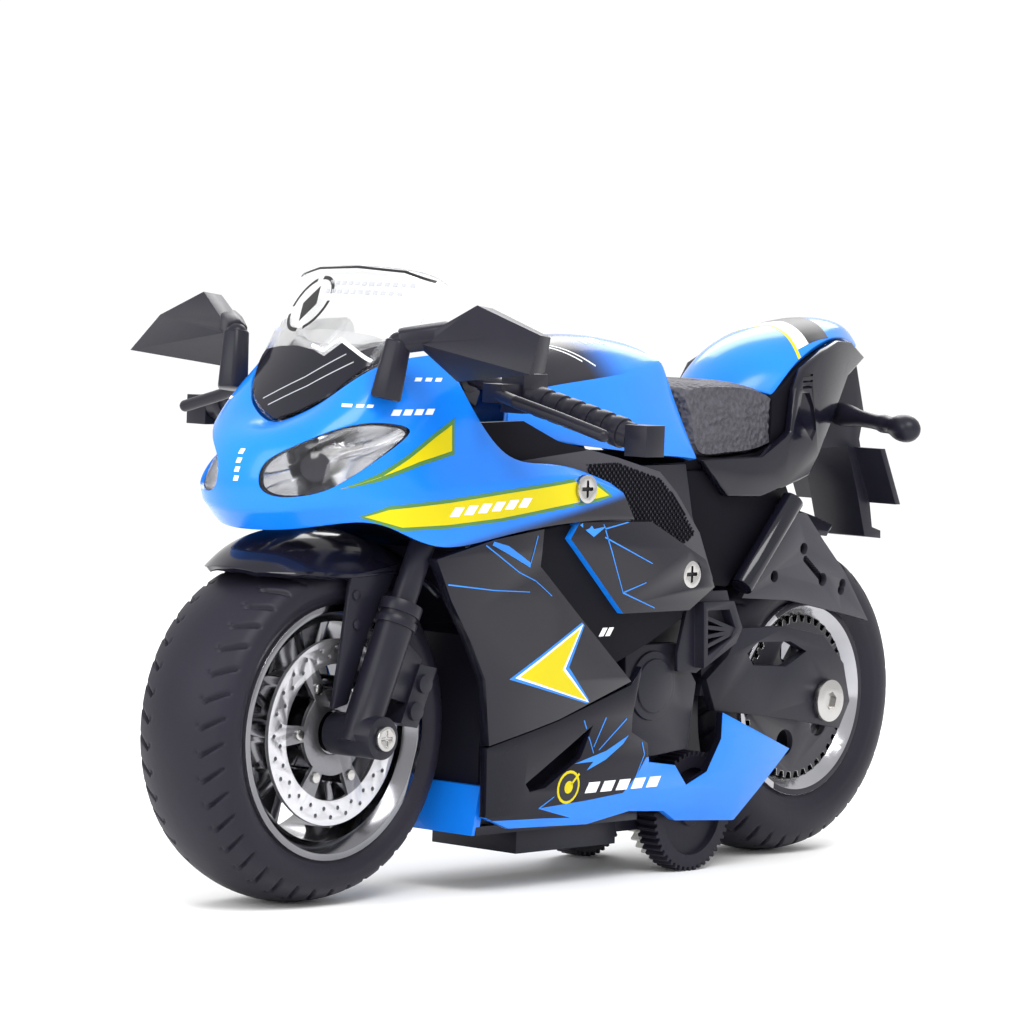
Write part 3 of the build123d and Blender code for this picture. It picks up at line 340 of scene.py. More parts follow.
# ---------------------------------------------------------------- curved shells
def grid_mesh(name, rows, creased_rows=(), creased_columns=(), crease=0.8):
    """Control mesh from rows of points; the rows have equal columns, and None leaves a gap."""
    work = bmesh.new()
    layer = work.edges.layers.float.new("crease_edge")
    made = {}
    grid = []
    for row in rows:
        line = []
        for point in row:
            if point is None:
                line.append(None)
                continue
            key = tuple(round(c, 3) for c in point)
            if key not in made:
                made[key] = work.verts.new(Vector(point) * MM)
            line.append(made[key])
        grid.append(line)
    for upper, lower in zip(grid, grid[1:]):
        for column in range(len(upper) - 1):
            corners = [upper[column], upper[column + 1], lower[column + 1], lower[column]]
            loop = [v for i, v in enumerate(corners) if v not in corners[:i]]
            if len(loop) > 2 and None not in corners:
                work.faces.new(loop)
    columns = [[line[index] for line in grid] for index in creased_columns]
    for line in [grid[index] for index in creased_rows] + columns:
        for a, b in zip(line, line[1:]):
            edge = a and b and work.edges.get((a, b))
            if edge:
                edge[layer] = crease
    mesh = bpy.data.meshes.new(name)
    work.to_mesh(mesh)
    work.free()
    return mesh


def face_outwards(mesh, inside):
    """Turn the faces of an open surface away from a point inside it, in millimetres."""
    work = bmesh.new()
    work.from_mesh(mesh)
    bmesh.ops.recalc_face_normals(work, faces=work.faces)
    core = Vector(inside) * MM
    total = sum(face.normal.dot(face.calc_center_median() - core) for face in work.faces)
    if total < 0:
        bmesh.ops.reverse_faces(work, faces=work.faces)
    work.to_mesh(mesh)
    work.free()


def add_shell(name, rows, body, materials, slot_name, replaced, thickness, inside, levels=3, rim=0.18,
              **creases):
    """Smooth moulded shell through rows of control points, thickened inwards."""
    mesh = grid_mesh(name, rows, **creases)
    face_outwards(mesh, inside)
    thing = add_piece(name, mesh, body, materials, replaced)
    smooth = thing.modifiers.new("smooth", "SUBSURF")
    smooth.levels = smooth.render_levels = levels
    smooth.boundary_smooth = "PRESERVE_CORNERS"
    thick = thing.modifiers.new("thick", "SOLIDIFY")
    thick.thickness = thickness * MM
    thick.offset = -1
    thick.use_even_offset = True
    settle(thing)
    return soften(thing, rim, 2, 60) if rim else thing


def both_sides(rows):
    """Rows given from the centre line outwards, completed with the right-hand side."""
    whole = []
    for row in rows:
        whole.append([None if p is None else flipped(p) for p in reversed(row[1:])] + list(row))
    return whole


def from_ridge(lines):
    """Lengthwise lines from the ridge down to the left edge, completed with the right-hand side."""
    return [[flipped(p) for p in line] for line in reversed(lines[1:])] + list(lines)


def cut(thing, cutters):
    """Take closed cutter meshes out of a piece."""
    helpers = []
    for number, mesh in enumerate(cutters):
        helper = linked(f"cutter_{number}", mesh)
        modifier = thing.modifiers.new(f"cut_{number}", "BOOLEAN")
        modifier.operation = "DIFFERENCE"
        modifier.solver = "EXACT"
        modifier.object = helper
        helpers.append(helper)
    settle(thing)
    for helper in helpers:
        mesh = helper.data
        bpy.data.objects.remove(helper)
        bpy.data.meshes.remove(mesh)


def side_faces(rings, n, closed=False):
    """Faces between rings of n points; closed joins the last ring to the first."""
    faces = []
    for ring in range(rings if closed else rings - 1):
        a, b = ring * n, (ring + 1) % rings * n
        faces += [(a + i, a + (i + 1) % n, b + (i + 1) % n, b + i) for i in range(n)]
    return faces


def end_faces(rings, n):
    """Flat ends of a row of rings."""
    return [range(n - 1, -1, -1), range((rings - 1) * n, rings * n)]


def swept(name, outline, sweep):
    """Closed prism from a flat outline of points and a sweep vector, in millimetres."""
    n = len(outline)
    points = [Vector(p) for p in outline] + [Vector(p) + Vector(sweep) for p in outline]
    return closed_mesh(name, points, [range(n), range(2 * n - 1, n - 1, -1)] + side_faces(2, n))


def turned_bar(name, rings, sides):
    """Closed round bar through (centre, radius) rings on one straight line, in millimetres."""
    along = (rings[-1][0] - rings[0][0]).normalized()
    across = along.orthogonal().normalized()
    third = along.cross(across)
    points = []
    for centre, radius in rings:
        for i in range(sides):
            turn = 2 * math.pi * i / sides
            points.append(centre + radius * (math.cos(turn) * across + math.sin(turn) * third))
    return mesh_of(name, points, end_faces(len(rings), sides) + side_faces(len(rings), sides))


def cylinder(name, start, end, radius, sides=32, end_radius=None):
    """Closed round bar or cone between two points, in millimetres."""
    last = radius if end_radius is None else end_radius
    return turned_bar(name, [(Vector(start), radius), (Vector(end), last)], sides)


# ---------------------------------------------------------------- printed film
def densified(route, step=1.0):
    """Route with points no further apart than step."""
    points = []
    for a, b in zip(route, route[1:]):
        a, b = Vector(a), Vector(b)
        parts = max(1, math.ceil((b - a).length / step))
        points += [a + (b - a) * i / parts for i in range(parts)]
    return points + [Vector(route[-1])]


def inset(outline, distance):
    """Outline moved inwards by a distance."""
    points = [Vector(p) for p in outline]
    area = sum(a.x * b.y - b.x * a.y for a, b in zip(points, points[1:] + points[:1]))
    turn = 1 if area > 0 else -1
    result = []
    for before, here, after in zip(points[-1:] + points[:-1], points, points[1:] + points[:1]):
        one, two = (here - before).normalized(), (after - here).normalized()
        first, second = Vector((-one.y, one.x)) * turn, Vector((-two.y, two.x)) * turn
        middle = first + second
        scale = distance * 2 / max(middle.length_squared, 0.8)
        result.append(here + middle * scale)
    return result


def inside_outline(point, outline):
    """Whether a flat point lies inside an outline, by counting the edges on one side of it."""
    hit = False
    for a, b in zip(outline, outline[1:] + outline[:1]):
        if (a[1] > point[1]) != (b[1] > point[1]):
            if point[0] < (b[0] - a[0]) * (point[1] - a[1]) / (b[1] - a[1]) + a[0]:
                hit = not hit
    return hit


def film_net(outlines, step):
    """Flat triangles that fill some outlines."""
    points, faces = [], []
    for outline in outlines:
        border = densified(outline + outline[:1], step)[:-1]
        low_x, high_x = min(p.x for p in border), max(p.x for p in border)
        low_y, high_y = min(p.y for p in border), max(p.y for p in border)
        fill = []
        for i in range(int((high_x - low_x) / step) + 1):
            for j in range(int((high_y - low_y) / step) + 1):
                spot = Vector((low_x + (i + 0.5) * step, low_y + (j + 0.5) * step))
                near = min((spot - p).length_squared for p in border)
                if near > (0.45 * step) ** 2 and inside_outline(spot, border):
                    fill.append(spot)
        result = delaunay_2d_cdt(border + fill, [], [list(range(len(border)))], 1, 1e-6)
        start = len(points)
        points += result[0]
        faces += [[start + i for i in face] for face in result[2]]
    return points, faces


class Ground:
    """Surface that film is laid on: some pieces' meshes together."""

    def __init__(self, things):
        points, faces = [], []
        for thing in things:
            start = len(points)
            points += [v.co / MM for v in thing.data.vertices]
            faces += [[start + i for i in face.vertices] for face in thing.data.polygons]
        self.tree = BVHTree.FromPolygons(points, faces)

    def spot(self, start, direction):
        """Place and normal where a line from start meets the surface."""
        return self.tree.ray_cast(start, direction)[:2]


# Directions that film is seen from, how far off its rays start, and the longest step it may take.
OUTWARD = {"left": Vector((0, 1, 0)), "right": Vector((0, -1, 0)), "top": Vector((0, 0, 1)),
           "front": Vector((1, 0, 0))}
FAR = 120
STEEPEST = 1.5


def add_film(name, outlines, ground, view, material, lift=0.05, step=1.2, slot_name="blue_gloss"):
    """Printed film on the chassis: flat outlines seen along an axis, laid on the ground below them.

    view is "left" or "right" for (x, z) outlines, "front" for (y, z) ones and "top" for (x, y) ones.
    """
    points, faces = film_net(outlines, step)
    outward = OUTWARD[view]
    placed = []
    for point in points:
        flat = {"top": (point.x, point.y, 0), "front": (0, point.x, point.y)}.get(view, (point.x, 0, point.y))
        hit, normal = ground.spot(Vector(flat) + outward * FAR, -outward)
        placed.append((hit + normal * lift) if hit is not None else None)
    kept = []
    for face in faces:
        corners = [placed[i] for i in face]
        if None in corners:
            continue
        if max((a - b).length for a, b in zip(corners, corners[1:] + corners[:1])) < step * 2 + STEEPEST:
            kept.append(face)
    used = sorted({i for face in kept for i in face})
    place = {old: new for new, old in enumerate(used)}
    mesh = mesh_of(name, [placed[i] for i in used], [[place[i] for i in face] for face in kept])
    work = bmesh.new()
    work.from_mesh(mesh)
    for face in work.faces:
        if face.normal.dot(outward) < 0:
            face.normal_flip()
    work.to_mesh(mesh)
    work.free()
    thing = add_piece(name, mesh, "chassis", [material])
    thick = thing.modifiers.new("thick", "SOLIDIFY")
    thick.thickness = (lift + 0.04) * MM
    thick.offset = -1
    return settle(thing, 60)


def both_films(name, outlines, ground, material, **options):
    """The same film on the left and the right."""
    for view in ("left", "right"):
        add_film(f"{name}_{view}", outlines, ground, view, material, **options)


def ribbon(route, width, end_width=None):
    """Thin outline along a route of flat points."""
    last = width if end_width is None else end_width
    route = [Vector(p) for p in route]
    left, right = [], []
    for i, point in enumerate(route):
        ahead = route[min(i + 1, len(route) - 1)] - route[max(i - 1, 0)]
        normal = Vector((-ahead.y, ahead.x)).normalized()
        half = (width + (last - width) * i / (len(route) - 1)) / 2
        left.append(point + normal * half)
        right.append(point - normal * half)
    return left + right[::-1]


def disc_outline(x, y, radius, sides=20):
    return [(x + radius * math.cos(2 * math.pi * i / sides), y + radius * math.sin(2 * math.pi * i / sides))
            for i in range(sides)]


# ---------------------------------------------------------------- cowl, screen and headlights
# Rows from the top down, each from the centre line out to the left edge, as (x, y, z) in millimetres.
COWL_LINES = [
    [(57.8, 0, 65.0), (56.9, 3.6, 66.4), (55.1, 7.2, 68.5), (50.8, 10.4, 73.0), (45.0, 12.4, 74.8),
     (38.6, 13.4, 75.3), None, None, None],
    [(61.6, 0, 64.4), (60.6, 4.8, 65.0), (57.9, 9.4, 66.6), (52.6, 13.1, 69.3), (45.2, 14.2, 71.2),
     (37.0, 14.4, 72.4), None, None, None],
    [(64.2, 0, 61.6), (63.0, 5.6, 62.2), (59.8, 10.8, 63.2), (53.8, 14.0, 65.4), (44.5, 15.0, 67.0),
     (34.4, 15.2, 68.0), None, None, None],
    [(65.2, 0, 57.4), (63.9, 6.0, 57.3), (60.6, 12.0, 57.8), (53.4, 15.0, 59.2), (43.4, 16.0, 60.8),
     (28.0, 15.9, 60.6), (20.0, 16.2, 60.4), (14.2, 16.4, 60.0), (6.6, 17.0, 57.6)],
    [(64.6, 0, 53.6), (63.0, 6.0, 53.8), (59.6, 11.8, 54.6), (52.2, 15.2, 55.4), (42.6, 16.8, 56.6),
     (31.0, 17.8, 57.8), (22.0, 18.2, 58.5), (13.5, 18.2, 58.9), (4.6, 17.9, 56.2)],
    [(62.4, 0, 51.0), (60.8, 5.8, 51.2), (57.4, 11.2, 52.3), (51.2, 14.9, 53.3), (42.3, 16.6, 48.2),
     (31.0, 17.3, 50.4), (22.0, 17.9, 51.8), (10.0, 18.0, 52.6), (1.6, 17.6, 52.4)],
]
HEADLIGHT_RIM = [(63.2, 3.6, 56.8), (62.6, 7.2, 55.8), (58.4, 11.2, 56.8), (52.6, 13.8, 60.4),
                 (46.4, 14.9, 64.8), (50.6, 13.9, 66.0), (55.6, 11.8, 65.4), (60.4, 8.4, 63.2),
                 (62.8, 4.0, 60.2)]
HEADLIGHT_AIM = Vector((0.78, 0.61, 0.14)).normalized()
SCREEN_LINES = [
    [(41.6, 0, 87.0), (41.2, 4.6, 86.9), (40.4, 9.0, 86.6), (39.6, 12.2, 86.0), (38.6, 13.8, 84.8)],
    [(51.0, 0, 76.6), (50.2, 4.2, 77.0), (48.4, 8.2, 77.8), (45.4, 11.2, 79.4), (42.2, 12.9, 80.0)],
    [(57.5, 0, 65.4), (56.6, 3.5, 66.7), (54.8, 7.0, 68.8), (50.6, 10.2, 73.3), (45.4, 12.2, 75.2)],
]
HOOD_LINES = [
    [(41.0, 0, 76.0), (40.8, 3.0, 76.0), (40.6, 5.4, 75.8), (40.4, 7.4, 75.4), (40.2, 8.6, 75.0)],
    [(50.2, 0, 74.0), (49.6, 3.4, 74.6), (47.8, 6.2, 76.2), (45.2, 8.0, 77.0), (42.6, 9.0, 76.8)],
    [(56.0, 0, 65.6), (55.2, 3.2, 66.8), (53.2, 6.2, 68.8), (49.2, 8.8, 72.8), (44.2, 10.6, 74.4)],
]
# Black print at the foot of the screen, as (y, z) outlines seen from the front.
SCREEN_MASK = [(-10.3, 73.7), (-9.4, 74.9), (-5.8, 75.5), (-2.3, 75.7), (1.0, 75.3), (3.4, 74.5), (4.3, 75.5),
               (5.1, 76.4), (7.8, 75.1), (10.3, 73.8), (9.9, 73.3), (7.0, 69.2), (3.4, 67.1), (0.0, 65.9),
               (-3.4, 67.1), (-7.0, 69.2), (-9.9, 73.3)]
# Painted highlight: white line along the top of the black print on the screen, as (y, z) points.
MASK_HIGHLIGHT = [(0.4, 75.9), (2.9, 75.2), (4.5, 76.9), (7.3, 75.6), (10.2, 74.1)]
MASK_STREAKS = [[(-4.0, 68.4), (2.0, 71.6), (6.6, 74.9)], [(-2.4, 67.6), (3.0, 70.4), (8.2, 73.9)]]
FAIRING_SCREW = (13.3, 56.9)
COVER_SCREW = (-12.4, 44.2)
FAIRING_FACE = 17.9
COVER_FACE = 16.4
PANEL = 1.2


def middle_of(points):
    return sum(points, Vector([0] * len(points[0]))) / len(points)


def rounded(points, parts=6):
    """Closed Catmull-Rom curve through points."""
    points = [Vector(p) for p in points]
    n = len(points)
    curve = []
    for i in range(n):
        a, b, c, d = (points[(i + k) % n] for k in (-1, 0, 1, 2))
        for step in range(parts):
            t = step / parts
            curve.append(0.5 * (2 * b + (c - a) * t + (2 * a - 5 * b + 4 * c - d) * t * t
                                + (3 * b - a - 3 * c + d) * t ** 3))
    return curve


def headlight_outline(shrink=0.0):
    """Rim curve of the left headlight, drawn in towards its middle across its aim."""
    points = rounded(HEADLIGHT_RIM)
    centre = middle_of(points)
    result = []
    for point in points:
        offset = point - centre
        offset -= HEADLIGHT_AIM * offset.dot(HEADLIGHT_AIM)
        result.append(centre + offset * (1 - shrink / offset.length))
    return result


def mirrored_mesh(mesh, name):
    """Copy of a mesh for the other side of the bike."""
    copy = mesh.copy()
    copy.name = name
    copy.transform(Matrix.Diagonal((1, -1, 1, 1)))
    copy.flip_normals()
    return copy


def build_cowl():
    cowl = add_shell("nose_cowl", both_sides(COWL_LINES), "chassis", [WING_BLUE], "blue_gloss",
                     ["front_cowl"], 0.8, (40, 0, 60), levels=3, rim=0, creased_rows=(4,), crease=0.75)
    window = swept("window", [p - HEADLIGHT_AIM * 9 for p in headlight_outline()], HEADLIGHT_AIM * 16)
    holes = [window, mirrored_mesh(window, "window_right")]
    x, z = FAIRING_SCREW
    for side in (1, -1):
        holes.append(cylinder("seat", (x, side * FAIRING_FACE, z), (x, side * 22, z), 2.15))
    cut(cowl, holes)
    return soften(cowl, 0.16, 2, 50)


def on_cowl(ground, outline, lift):
    """Rim points put back on the cowl's outer surface along the headlight's aim."""
    placed = []
    for point in outline:
        hit, _ = ground.spot(point + HEADLIGHT_AIM * 14, -HEADLIGHT_AIM)
        placed.append((point if hit is None else hit) + HEADLIGHT_AIM * lift)
    return placed


def ring_strip(name, inner, outer, depth):
    """Closed band between two loops of equal length, given depth along the headlight's aim."""
    back = -HEADLIGHT_AIM * depth
    points = inner + outer + [p + back for p in outer] + [p + back for p in inner]
    return closed_mesh(name, points, side_faces(4, len(inner), closed=True))


def domed(name, loop, crown, thick, rings=5):
    """Closed cap over a loop: rings that close on its middle and rise along the aim by crown."""
    centre = middle_of(loop)
    n = len(loop)
    points = []
    for shift in (0, -thick):
        for ring in range(rings):
            share = 1 - ring / rings
            rise = crown * (1 - share * share) + shift
            points += [centre + (p - centre) * share + HEADLIGHT_AIM * rise for p in loop]
        points.append(centre + HEADLIGHT_AIM * (crown + shift))
    layer = rings * n + 1
    faces = []
    for base in (0, layer):
        faces += [[base + i for i in face] for face in side_faces(rings, n)]
        last = base + (rings - 1) * n
        faces += [(last + i, last + (i + 1) % n, base + rings * n) for i in range(n)]
    faces += [(i, i + layer, (i + 1) % n + layer, (i + 1) % n) for i in range(n)]
    return closed_mesh(name, points, faces)


def build_headlights(cowl_ground):
    """Clear lens, dark seal, plated bowl and lamp behind each opening."""
    edge = on_cowl(cowl_ground, headlight_outline(-0.25), -0.35)
    centre = middle_of(edge)

    def drawn_in(share, back=0.0):
        return [point.lerp(centre, share) - HEADLIGHT_AIM * back for point in edge]

    lens = domed("lens", drawn_in(0.03), 0.5, 0.5)
    seal = ring_strip("seal", drawn_in(0.085), drawn_in(0.02), 1.2)
    bowl = domed("bowl", drawn_in(0.05, 0.9), -3.6, 0.5, rings=8)
    lamp_centre = centre + Vector((1.4, -1.2, -1.0))
    lamp = cylinder("lamp", lamp_centre - HEADLIGHT_AIM * 4.0, lamp_centre - HEADLIGHT_AIM * 1.9, 1.7, 28, 2.1)
    bar_centre = centre - HEADLIGHT_AIM * 3.0
    bar_corners = [(-3.6, 2.8, 1.5), (-3.6, 2.8, 2.3), (2.0, -1.6, 0.9), (2.0, -1.6, 0.1)]
    bar = swept("bar", [bar_centre + Vector(p) for p in bar_corners], HEADLIGHT_AIM * 0.9)
    parts = [("lens", lens, LENS, "clear", ["headlight_lenses"]),
             ("seal", seal, BLACK_GLOSS, "black_gloss", []),
             ("bowl", bowl, CHROME, "reflector", ["headlight_reflectors"]),
             ("lamp", lamp, GREY_SATIN, "steel", []), ("lamp_bar", bar, STEEL, "steel", [])]
    for label, mesh, material, slot_name, nodes in parts:
        other = mirrored_mesh(mesh, f"headlight_{label}_right")
        mesh.name = f"headlight_{label}_left"
        for piece in (mesh, other):
            soften(add_piece(piece.name, piece, "chassis", [material], nodes), 0.08, 1, 50)


def build_screen():
    screen = add_shell("wind_screen", both_sides(SCREEN_LINES), "chassis", [SCREEN], "clear", ["windshield"],
                       0.6, (30, 0, 70), levels=4, rim=0.12)
    add_shell("instrument_hood", both_sides(HOOD_LINES), "chassis", [BLACK_PAINT], "black_gloss",
              ["instrument_panel"], 0.9, (40, 0, 60), levels=3, creased_rows=(1,), crease=0.75)
    ground = Ground([screen])
    across, up, radius = -5.0, 81.4, 3.6
    ring = []
    for part in range(4):
        arc = [math.pi / 2 * (part + 0.1 + 0.8 * i / 10) + 0.3 for i in range(11)]
        ring.append(ribbon([(across + radius * math.cos(t), up + radius * math.sin(t)) for t in arc], 0.45))
    diamond = [(across, up + 2.4), (across + 1.5, up), (across, up - 2.4), (across - 1.5, up)]
    ticks = slanted_dashes(10.6, 84.2, 12, 0.7, 0.5, 1.2, 0.2)
    ticks += slanted_dashes(9.6, 83.0, 11, 0.7, 0.5, 1.2, 0.2)
    border = densified([(-12.6, 85.05), (-8.0, 86.25), (0.0, 86.65), (8.0, 86.25), (12.6, 85.05)])
    streaks = [ribbon(densified(route), 0.14) for route in MASK_STREAKS]
    for name, outlines, material, lift, step in (
            ("ring", ring + [diamond], INK_AND_SHADE, 0.04, 0.5), ("ticks", ticks, FAINT, 0.04, 0.4),
            ("border", [ribbon(border, 0.3)], INK_AND_SHADE, 0.04, 0.8), ("mask", [SCREEN_MASK], BLACK_GLOSS, 0.05, 0.7),
            # Painted highlight: white line along the top of the black mask.
            ("edge", [ribbon(densified(MASK_HIGHLIGHT, 0.5), 0.4)], WHITE, 0.09, 0.4),
            ("streaks", streaks, FAINT, 0.08, 0.5)):
        add_film(f"screen_{name}", outlines, ground, "front", material, lift, step, "black_gloss")


# ---------------------------------------------------------------- tank, seat and tail
# Lengthwise lines from the ridge down to the left edge, each from front to back, in millimetres.
TANK_LINES = [
    [(21.0, 0, 72.5), (14.0, 0, 76.2), (5.0, 0, 78.0), (-4.0, 0, 78.4), (-12.5, 0, 77.2), (-15.2, 0, 71.5),
     (-19.6, 0, 62.8)],
    [(20.6, 5.0, 72.0), (14.0, 6.0, 75.4), (5.0, 6.6, 77.0), (-4.0, 6.2, 77.6), (-12.8, 5.0, 76.4),
     (-15.4, 5.6, 70.8), (-19.6, 6.4, 62.2)],
    [(20.4, 9.2, 69.4), (13.4, 10.9, 70.9), (5.0, 11.2, 71.8), (-4.0, 11.0, 72.8), (-13.6, 9.0, 74.4),
     (-16.2, 9.8, 68.2), (-19.8, 10.4, 61.6)],
    [(21.4, 10.6, 66.4), (13.6, 12.6, 66.6), (3.0, 12.9, 66.9), (-7.2, 12.4, 66.4), (-13.6, 11.2, 66.8),
     (-16.6, 11.0, 64.2), (-19.9, 10.8, 61.0)],
    [(22.0, 10.8, 64.3), (14.0, 12.2, 63.2), (5.0, 12.6, 62.3), (-4.0, 12.4, 61.6), (-11.0, 12.0, 61.0),
     (-15.5, 11.6, 60.8), (-19.9, 11.0, 60.4)],
]
HUMP_LINES = [
    [(-32.6, 0, 71.3), (-36.6, 0, 75.0), (-42.5, 0, 78.2), (-50.0, 0, 80.2), (-58.6, 0, 81.7), (-64.6, 0, 80.9),
     (-67.6, 0, 78.4)],
    [(-34.2, 5.0, 71.1), (-38.0, 5.5, 74.4), (-43.5, 6.0, 77.4), (-50.5, 6.0, 79.4), (-58.4, 5.5, 80.8),
     (-64.2, 4.3, 80.0), (-67.4, 3.0, 77.8)],
    [(-39.4, 9.2, 69.6), (-41.4, 9.5, 71.8), (-44.6, 9.4, 74.6), (-50.0, 9.0, 77.2), (-55.0, 8.2, 78.4),
     (-60.0, 6.8, 78.2), (-66.2, 4.2, 76.8)],
]

SEAT_SIDE = [(-20.6, 60.4), (-18.0, 66.6), (-16.1, 70.2), (-19.0, 71.3), (-26.4, 71.6), (-33.8, 71.2),
             (-39.0, 70.0), (-42.6, 67.8), (-43.6, 65.2), (-41.6, 62.6), (-36.5, 60.9), (-28.6, 60.2)]
SEAT_HALF = 9.6
SEAT_STATIONS = 40
SEAT_RINGS = 6


def build_tank():
    tank = add_shell("tank_shell", from_ridge(TANK_LINES), "chassis", [BLUE, TANK_TOP], "blue_gloss",
                     ["fuel_tank"], PANEL, (0, 0, 64), levels=3, creased_rows=(2, 6), creased_columns=(4,),
                     crease=0.8)

    def on_top(centre, normal):
        crease = 69.4 + (20.4 - centre.x) * 0.147
        return centre.z > crease + 0.1 and abs(centre.y) < 11.2 and normal.z > 0.25

    paint_faces(tank, on_top, 1)
    ground = Ground([tank])
    for side, label in SIDES:
        lines = [ribbon(densified([(8.8, 3.4 * side), (2.0, 9.6 * side)]), 0.2),
                 ribbon(densified([(10.8, 2.6 * side), (4.0, 8.8 * side)]), 0.2)]
        lines += [[(x, y * side) for x, y in bar] for bar in slanted_dashes(0.6, 3.8, 4, 0.55, 2.0, 1.3, 0.7)]
        add_film(f"tank_lines_{label}", lines, ground, "top", WHITE, step=0.6)


def build_hump():
    hump = add_shell("tail_hump", from_ridge(HUMP_LINES), "chassis", [BLUE], "blue_gloss", ["tail_cowl"],
                     PANEL, (-50, 0, 68), levels=3)
    ground = Ground([hump])
    lean, half = 4.0, 9.2
    for name, near, far, material in (("white", -50.0, -52.6, WHITE), ("black", -52.6, -57.4, INK_AND_SHADE),
                                      ("sun", -49.4, -50.0, YELLOW)):
        outline = [(near, 0), (near + lean, half), (far + lean, half), (far, 0), (far + lean, -half),
                   (near + lean, -half)]
        add_film(f"hump_band_{name}", [outline], ground, "top", material)


def build_seat():
    """Saddle with a crowned top, a rolled edge and moulded wrinkles."""
    outline = rounded(SEAT_SIDE, 10)
    centre = middle_of([Vector(p) for p in SEAT_SIDE])
    n = len(outline)
    points = []
    for k in range(SEAT_STATIONS + 1):
        share = -1 + 2 * k / SEAT_STATIONS
        edge = abs(share) ** 5
        for p in outline:
            q = centre + (p - centre) * (1 - 0.16 * edge)
            ripple = 0.2 * math.sin(q.y * 4.6 + 1.6 * math.sin(q.x * 0.7 + share * 2) + share * 3) * (1 - edge)
            q += (q - centre).normalized() * ripple
            points.append(Vector((q.x, share * SEAT_HALF, q.y)))
    faces = side_faces(SEAT_STATIONS + 1, n)
    for side, base in ((-1, 0), (1, SEAT_STATIONS * n)):
        rim = points[base:base + n]
        previous = range(base, base + n)
        middle = Vector((centre.x, side * SEAT_HALF, centre.y))
        for ring in range(1, SEAT_RINGS):
            current = range(len(points), len(points) + n)
            share = ring / SEAT_RINGS
            for p in rim:
                q = p.lerp(middle, share)
                wave = math.sin(q.z * 4.6 + 1.6 * math.sin(q.x * 0.7) + q.x * 0.5)
                q.y = side * (SEAT_HALF - 0.22 + 0.2 * wave * share ** 0.5)
                points.append(q)
            faces += [(previous[i], previous[(i + 1) % n], current[(i + 1) % n], current[i]) for i in range(n)]
            previous = current
        faces += [(previous[i], previous[(i + 1) % n], len(points)) for i in range(n)]
        points.append(middle - Vector((0, side * 0.25, 0)))
    mesh = closed_mesh("saddle", points, faces)
    settle(add_piece("saddle", mesh, "chassis", [SEAT], ["seat_pad"]), 50)


# ---------------------------------------------------------------- side panels
# Outlines of the upper side panel's two outer plates and of its slot, as (x, z).
FRONT_PLATE = [(41.6, 47.6), (38.2, 41.9), (33.9, 36.3), (30.3, 30.7), (28.3, 21.4), (14.3, 24.5), (-0.6, 29.2),
               (10.1, 37.5), (21.3, 46.2), (21.1, 51.4), (30.8, 50.1)]
REAR_PLATE = [(13.7, 52.2), (15.4, 49.9), (2.5, 39.0), (-12.4, 39.0), (-17.8, 42.2), (-15.2, 46.2),
              (-2.1, 52.0)]
SLOT_EDGES = [(24.0, 53.5), (20.0, 54.5), (14.0, 53.5), (1.0, 39.2), (4.0, 37.6), (17.2, 48.5)]


def outward_face(centre, normal):
    """Outer, painted side of a side panel."""
    return normal.y * (1 if centre.y > 0 else -1) > 0.3


def painted_upper(centre, normal):
    """The outside and the cut edges, apart from the bare blue edge of the slot."""
    side = 1 if centre.y > 0 else -1
    bare = abs(normal.y) < 0.7 and inside_outline((centre.x, centre.z), SLOT_EDGES)
    return not bare and normal.y * side > -0.5


def shaded_slot_floor(centre, normal):
    """Sunk floor between the two outer plates of the upper panel, painted matt black as painted shade."""
    if normal.y * centre.y < 0 or abs(normal.y) < 0.7:
        return False
    return not any(inside_outline((centre.x, centre.z), plate) for plate in (FRONT_PLATE, REAR_PLATE))


def painted_lower(centre, normal):
    """The outside and the cut edges, apart from the bare blue bottom edge."""
    side = 1 if centre.y > 0 else -1
    return normal.y * side > -0.5 and not (normal.z < -0.5 and centre.z < 12)


# Printed decoration of the left side, as (x, z) outlines on the panels.
WING_STRIPE = [(54.3, 53.4), (50.4, 54.9), (40.0, 55.8), (30.0, 56.9), (20.0, 57.9), (14.5, 58.5), (10.4, 57.7),
               (7.0, 55.8), (10.0, 55.1), (20.0, 53.9), (30.0, 52.6), (40.0, 51.8), (48.0, 51.5)]
NOSE_STRIPE = [(57.6, 57.1), (52.0, 59.3), (47.0, 61.8), (42.0, 64.6), (37.8, 66.7), (38.3, 61.8), (45.0, 60.3),
               (52.0, 58.2)]
DELTA = [(25.6, 30.6), (10.4, 38.6), (13.4, 31.8), (7.6, 26.2)]
LOWER_BLUE = [(16.4, 11.9), (6.0, 12.4), (-2.0, 13.0), (-4.6, 15.4), (-6.2, 17.9), (-14.0, 18.6), (-24.0, 26.0),
              (-44.0, 18.0), (-31.0, 4.0), (30.0, 4.0), (30.0, 11.2), (26.0, 10.7), (15.0, 10.4), (9.0, 10.1)]
BLUE_FLASHES = [
    [(9.6, 17.9), (3.0, 19.4), (-1.6, 21.4), (-0.5, 20.2), (3.0, 18.1), (6.8, 16.8), (5.6, 18.0)],
    [(34.6, 50.7), (28.5, 48.3), (23.4, 46.1), (23.4, 46.8), (28.0, 49.2)],
    [(13.6, 51.8), (12.0, 52.7), (10.6, 51.2), (8.0, 51.5), (10.5, 50.1)],
]
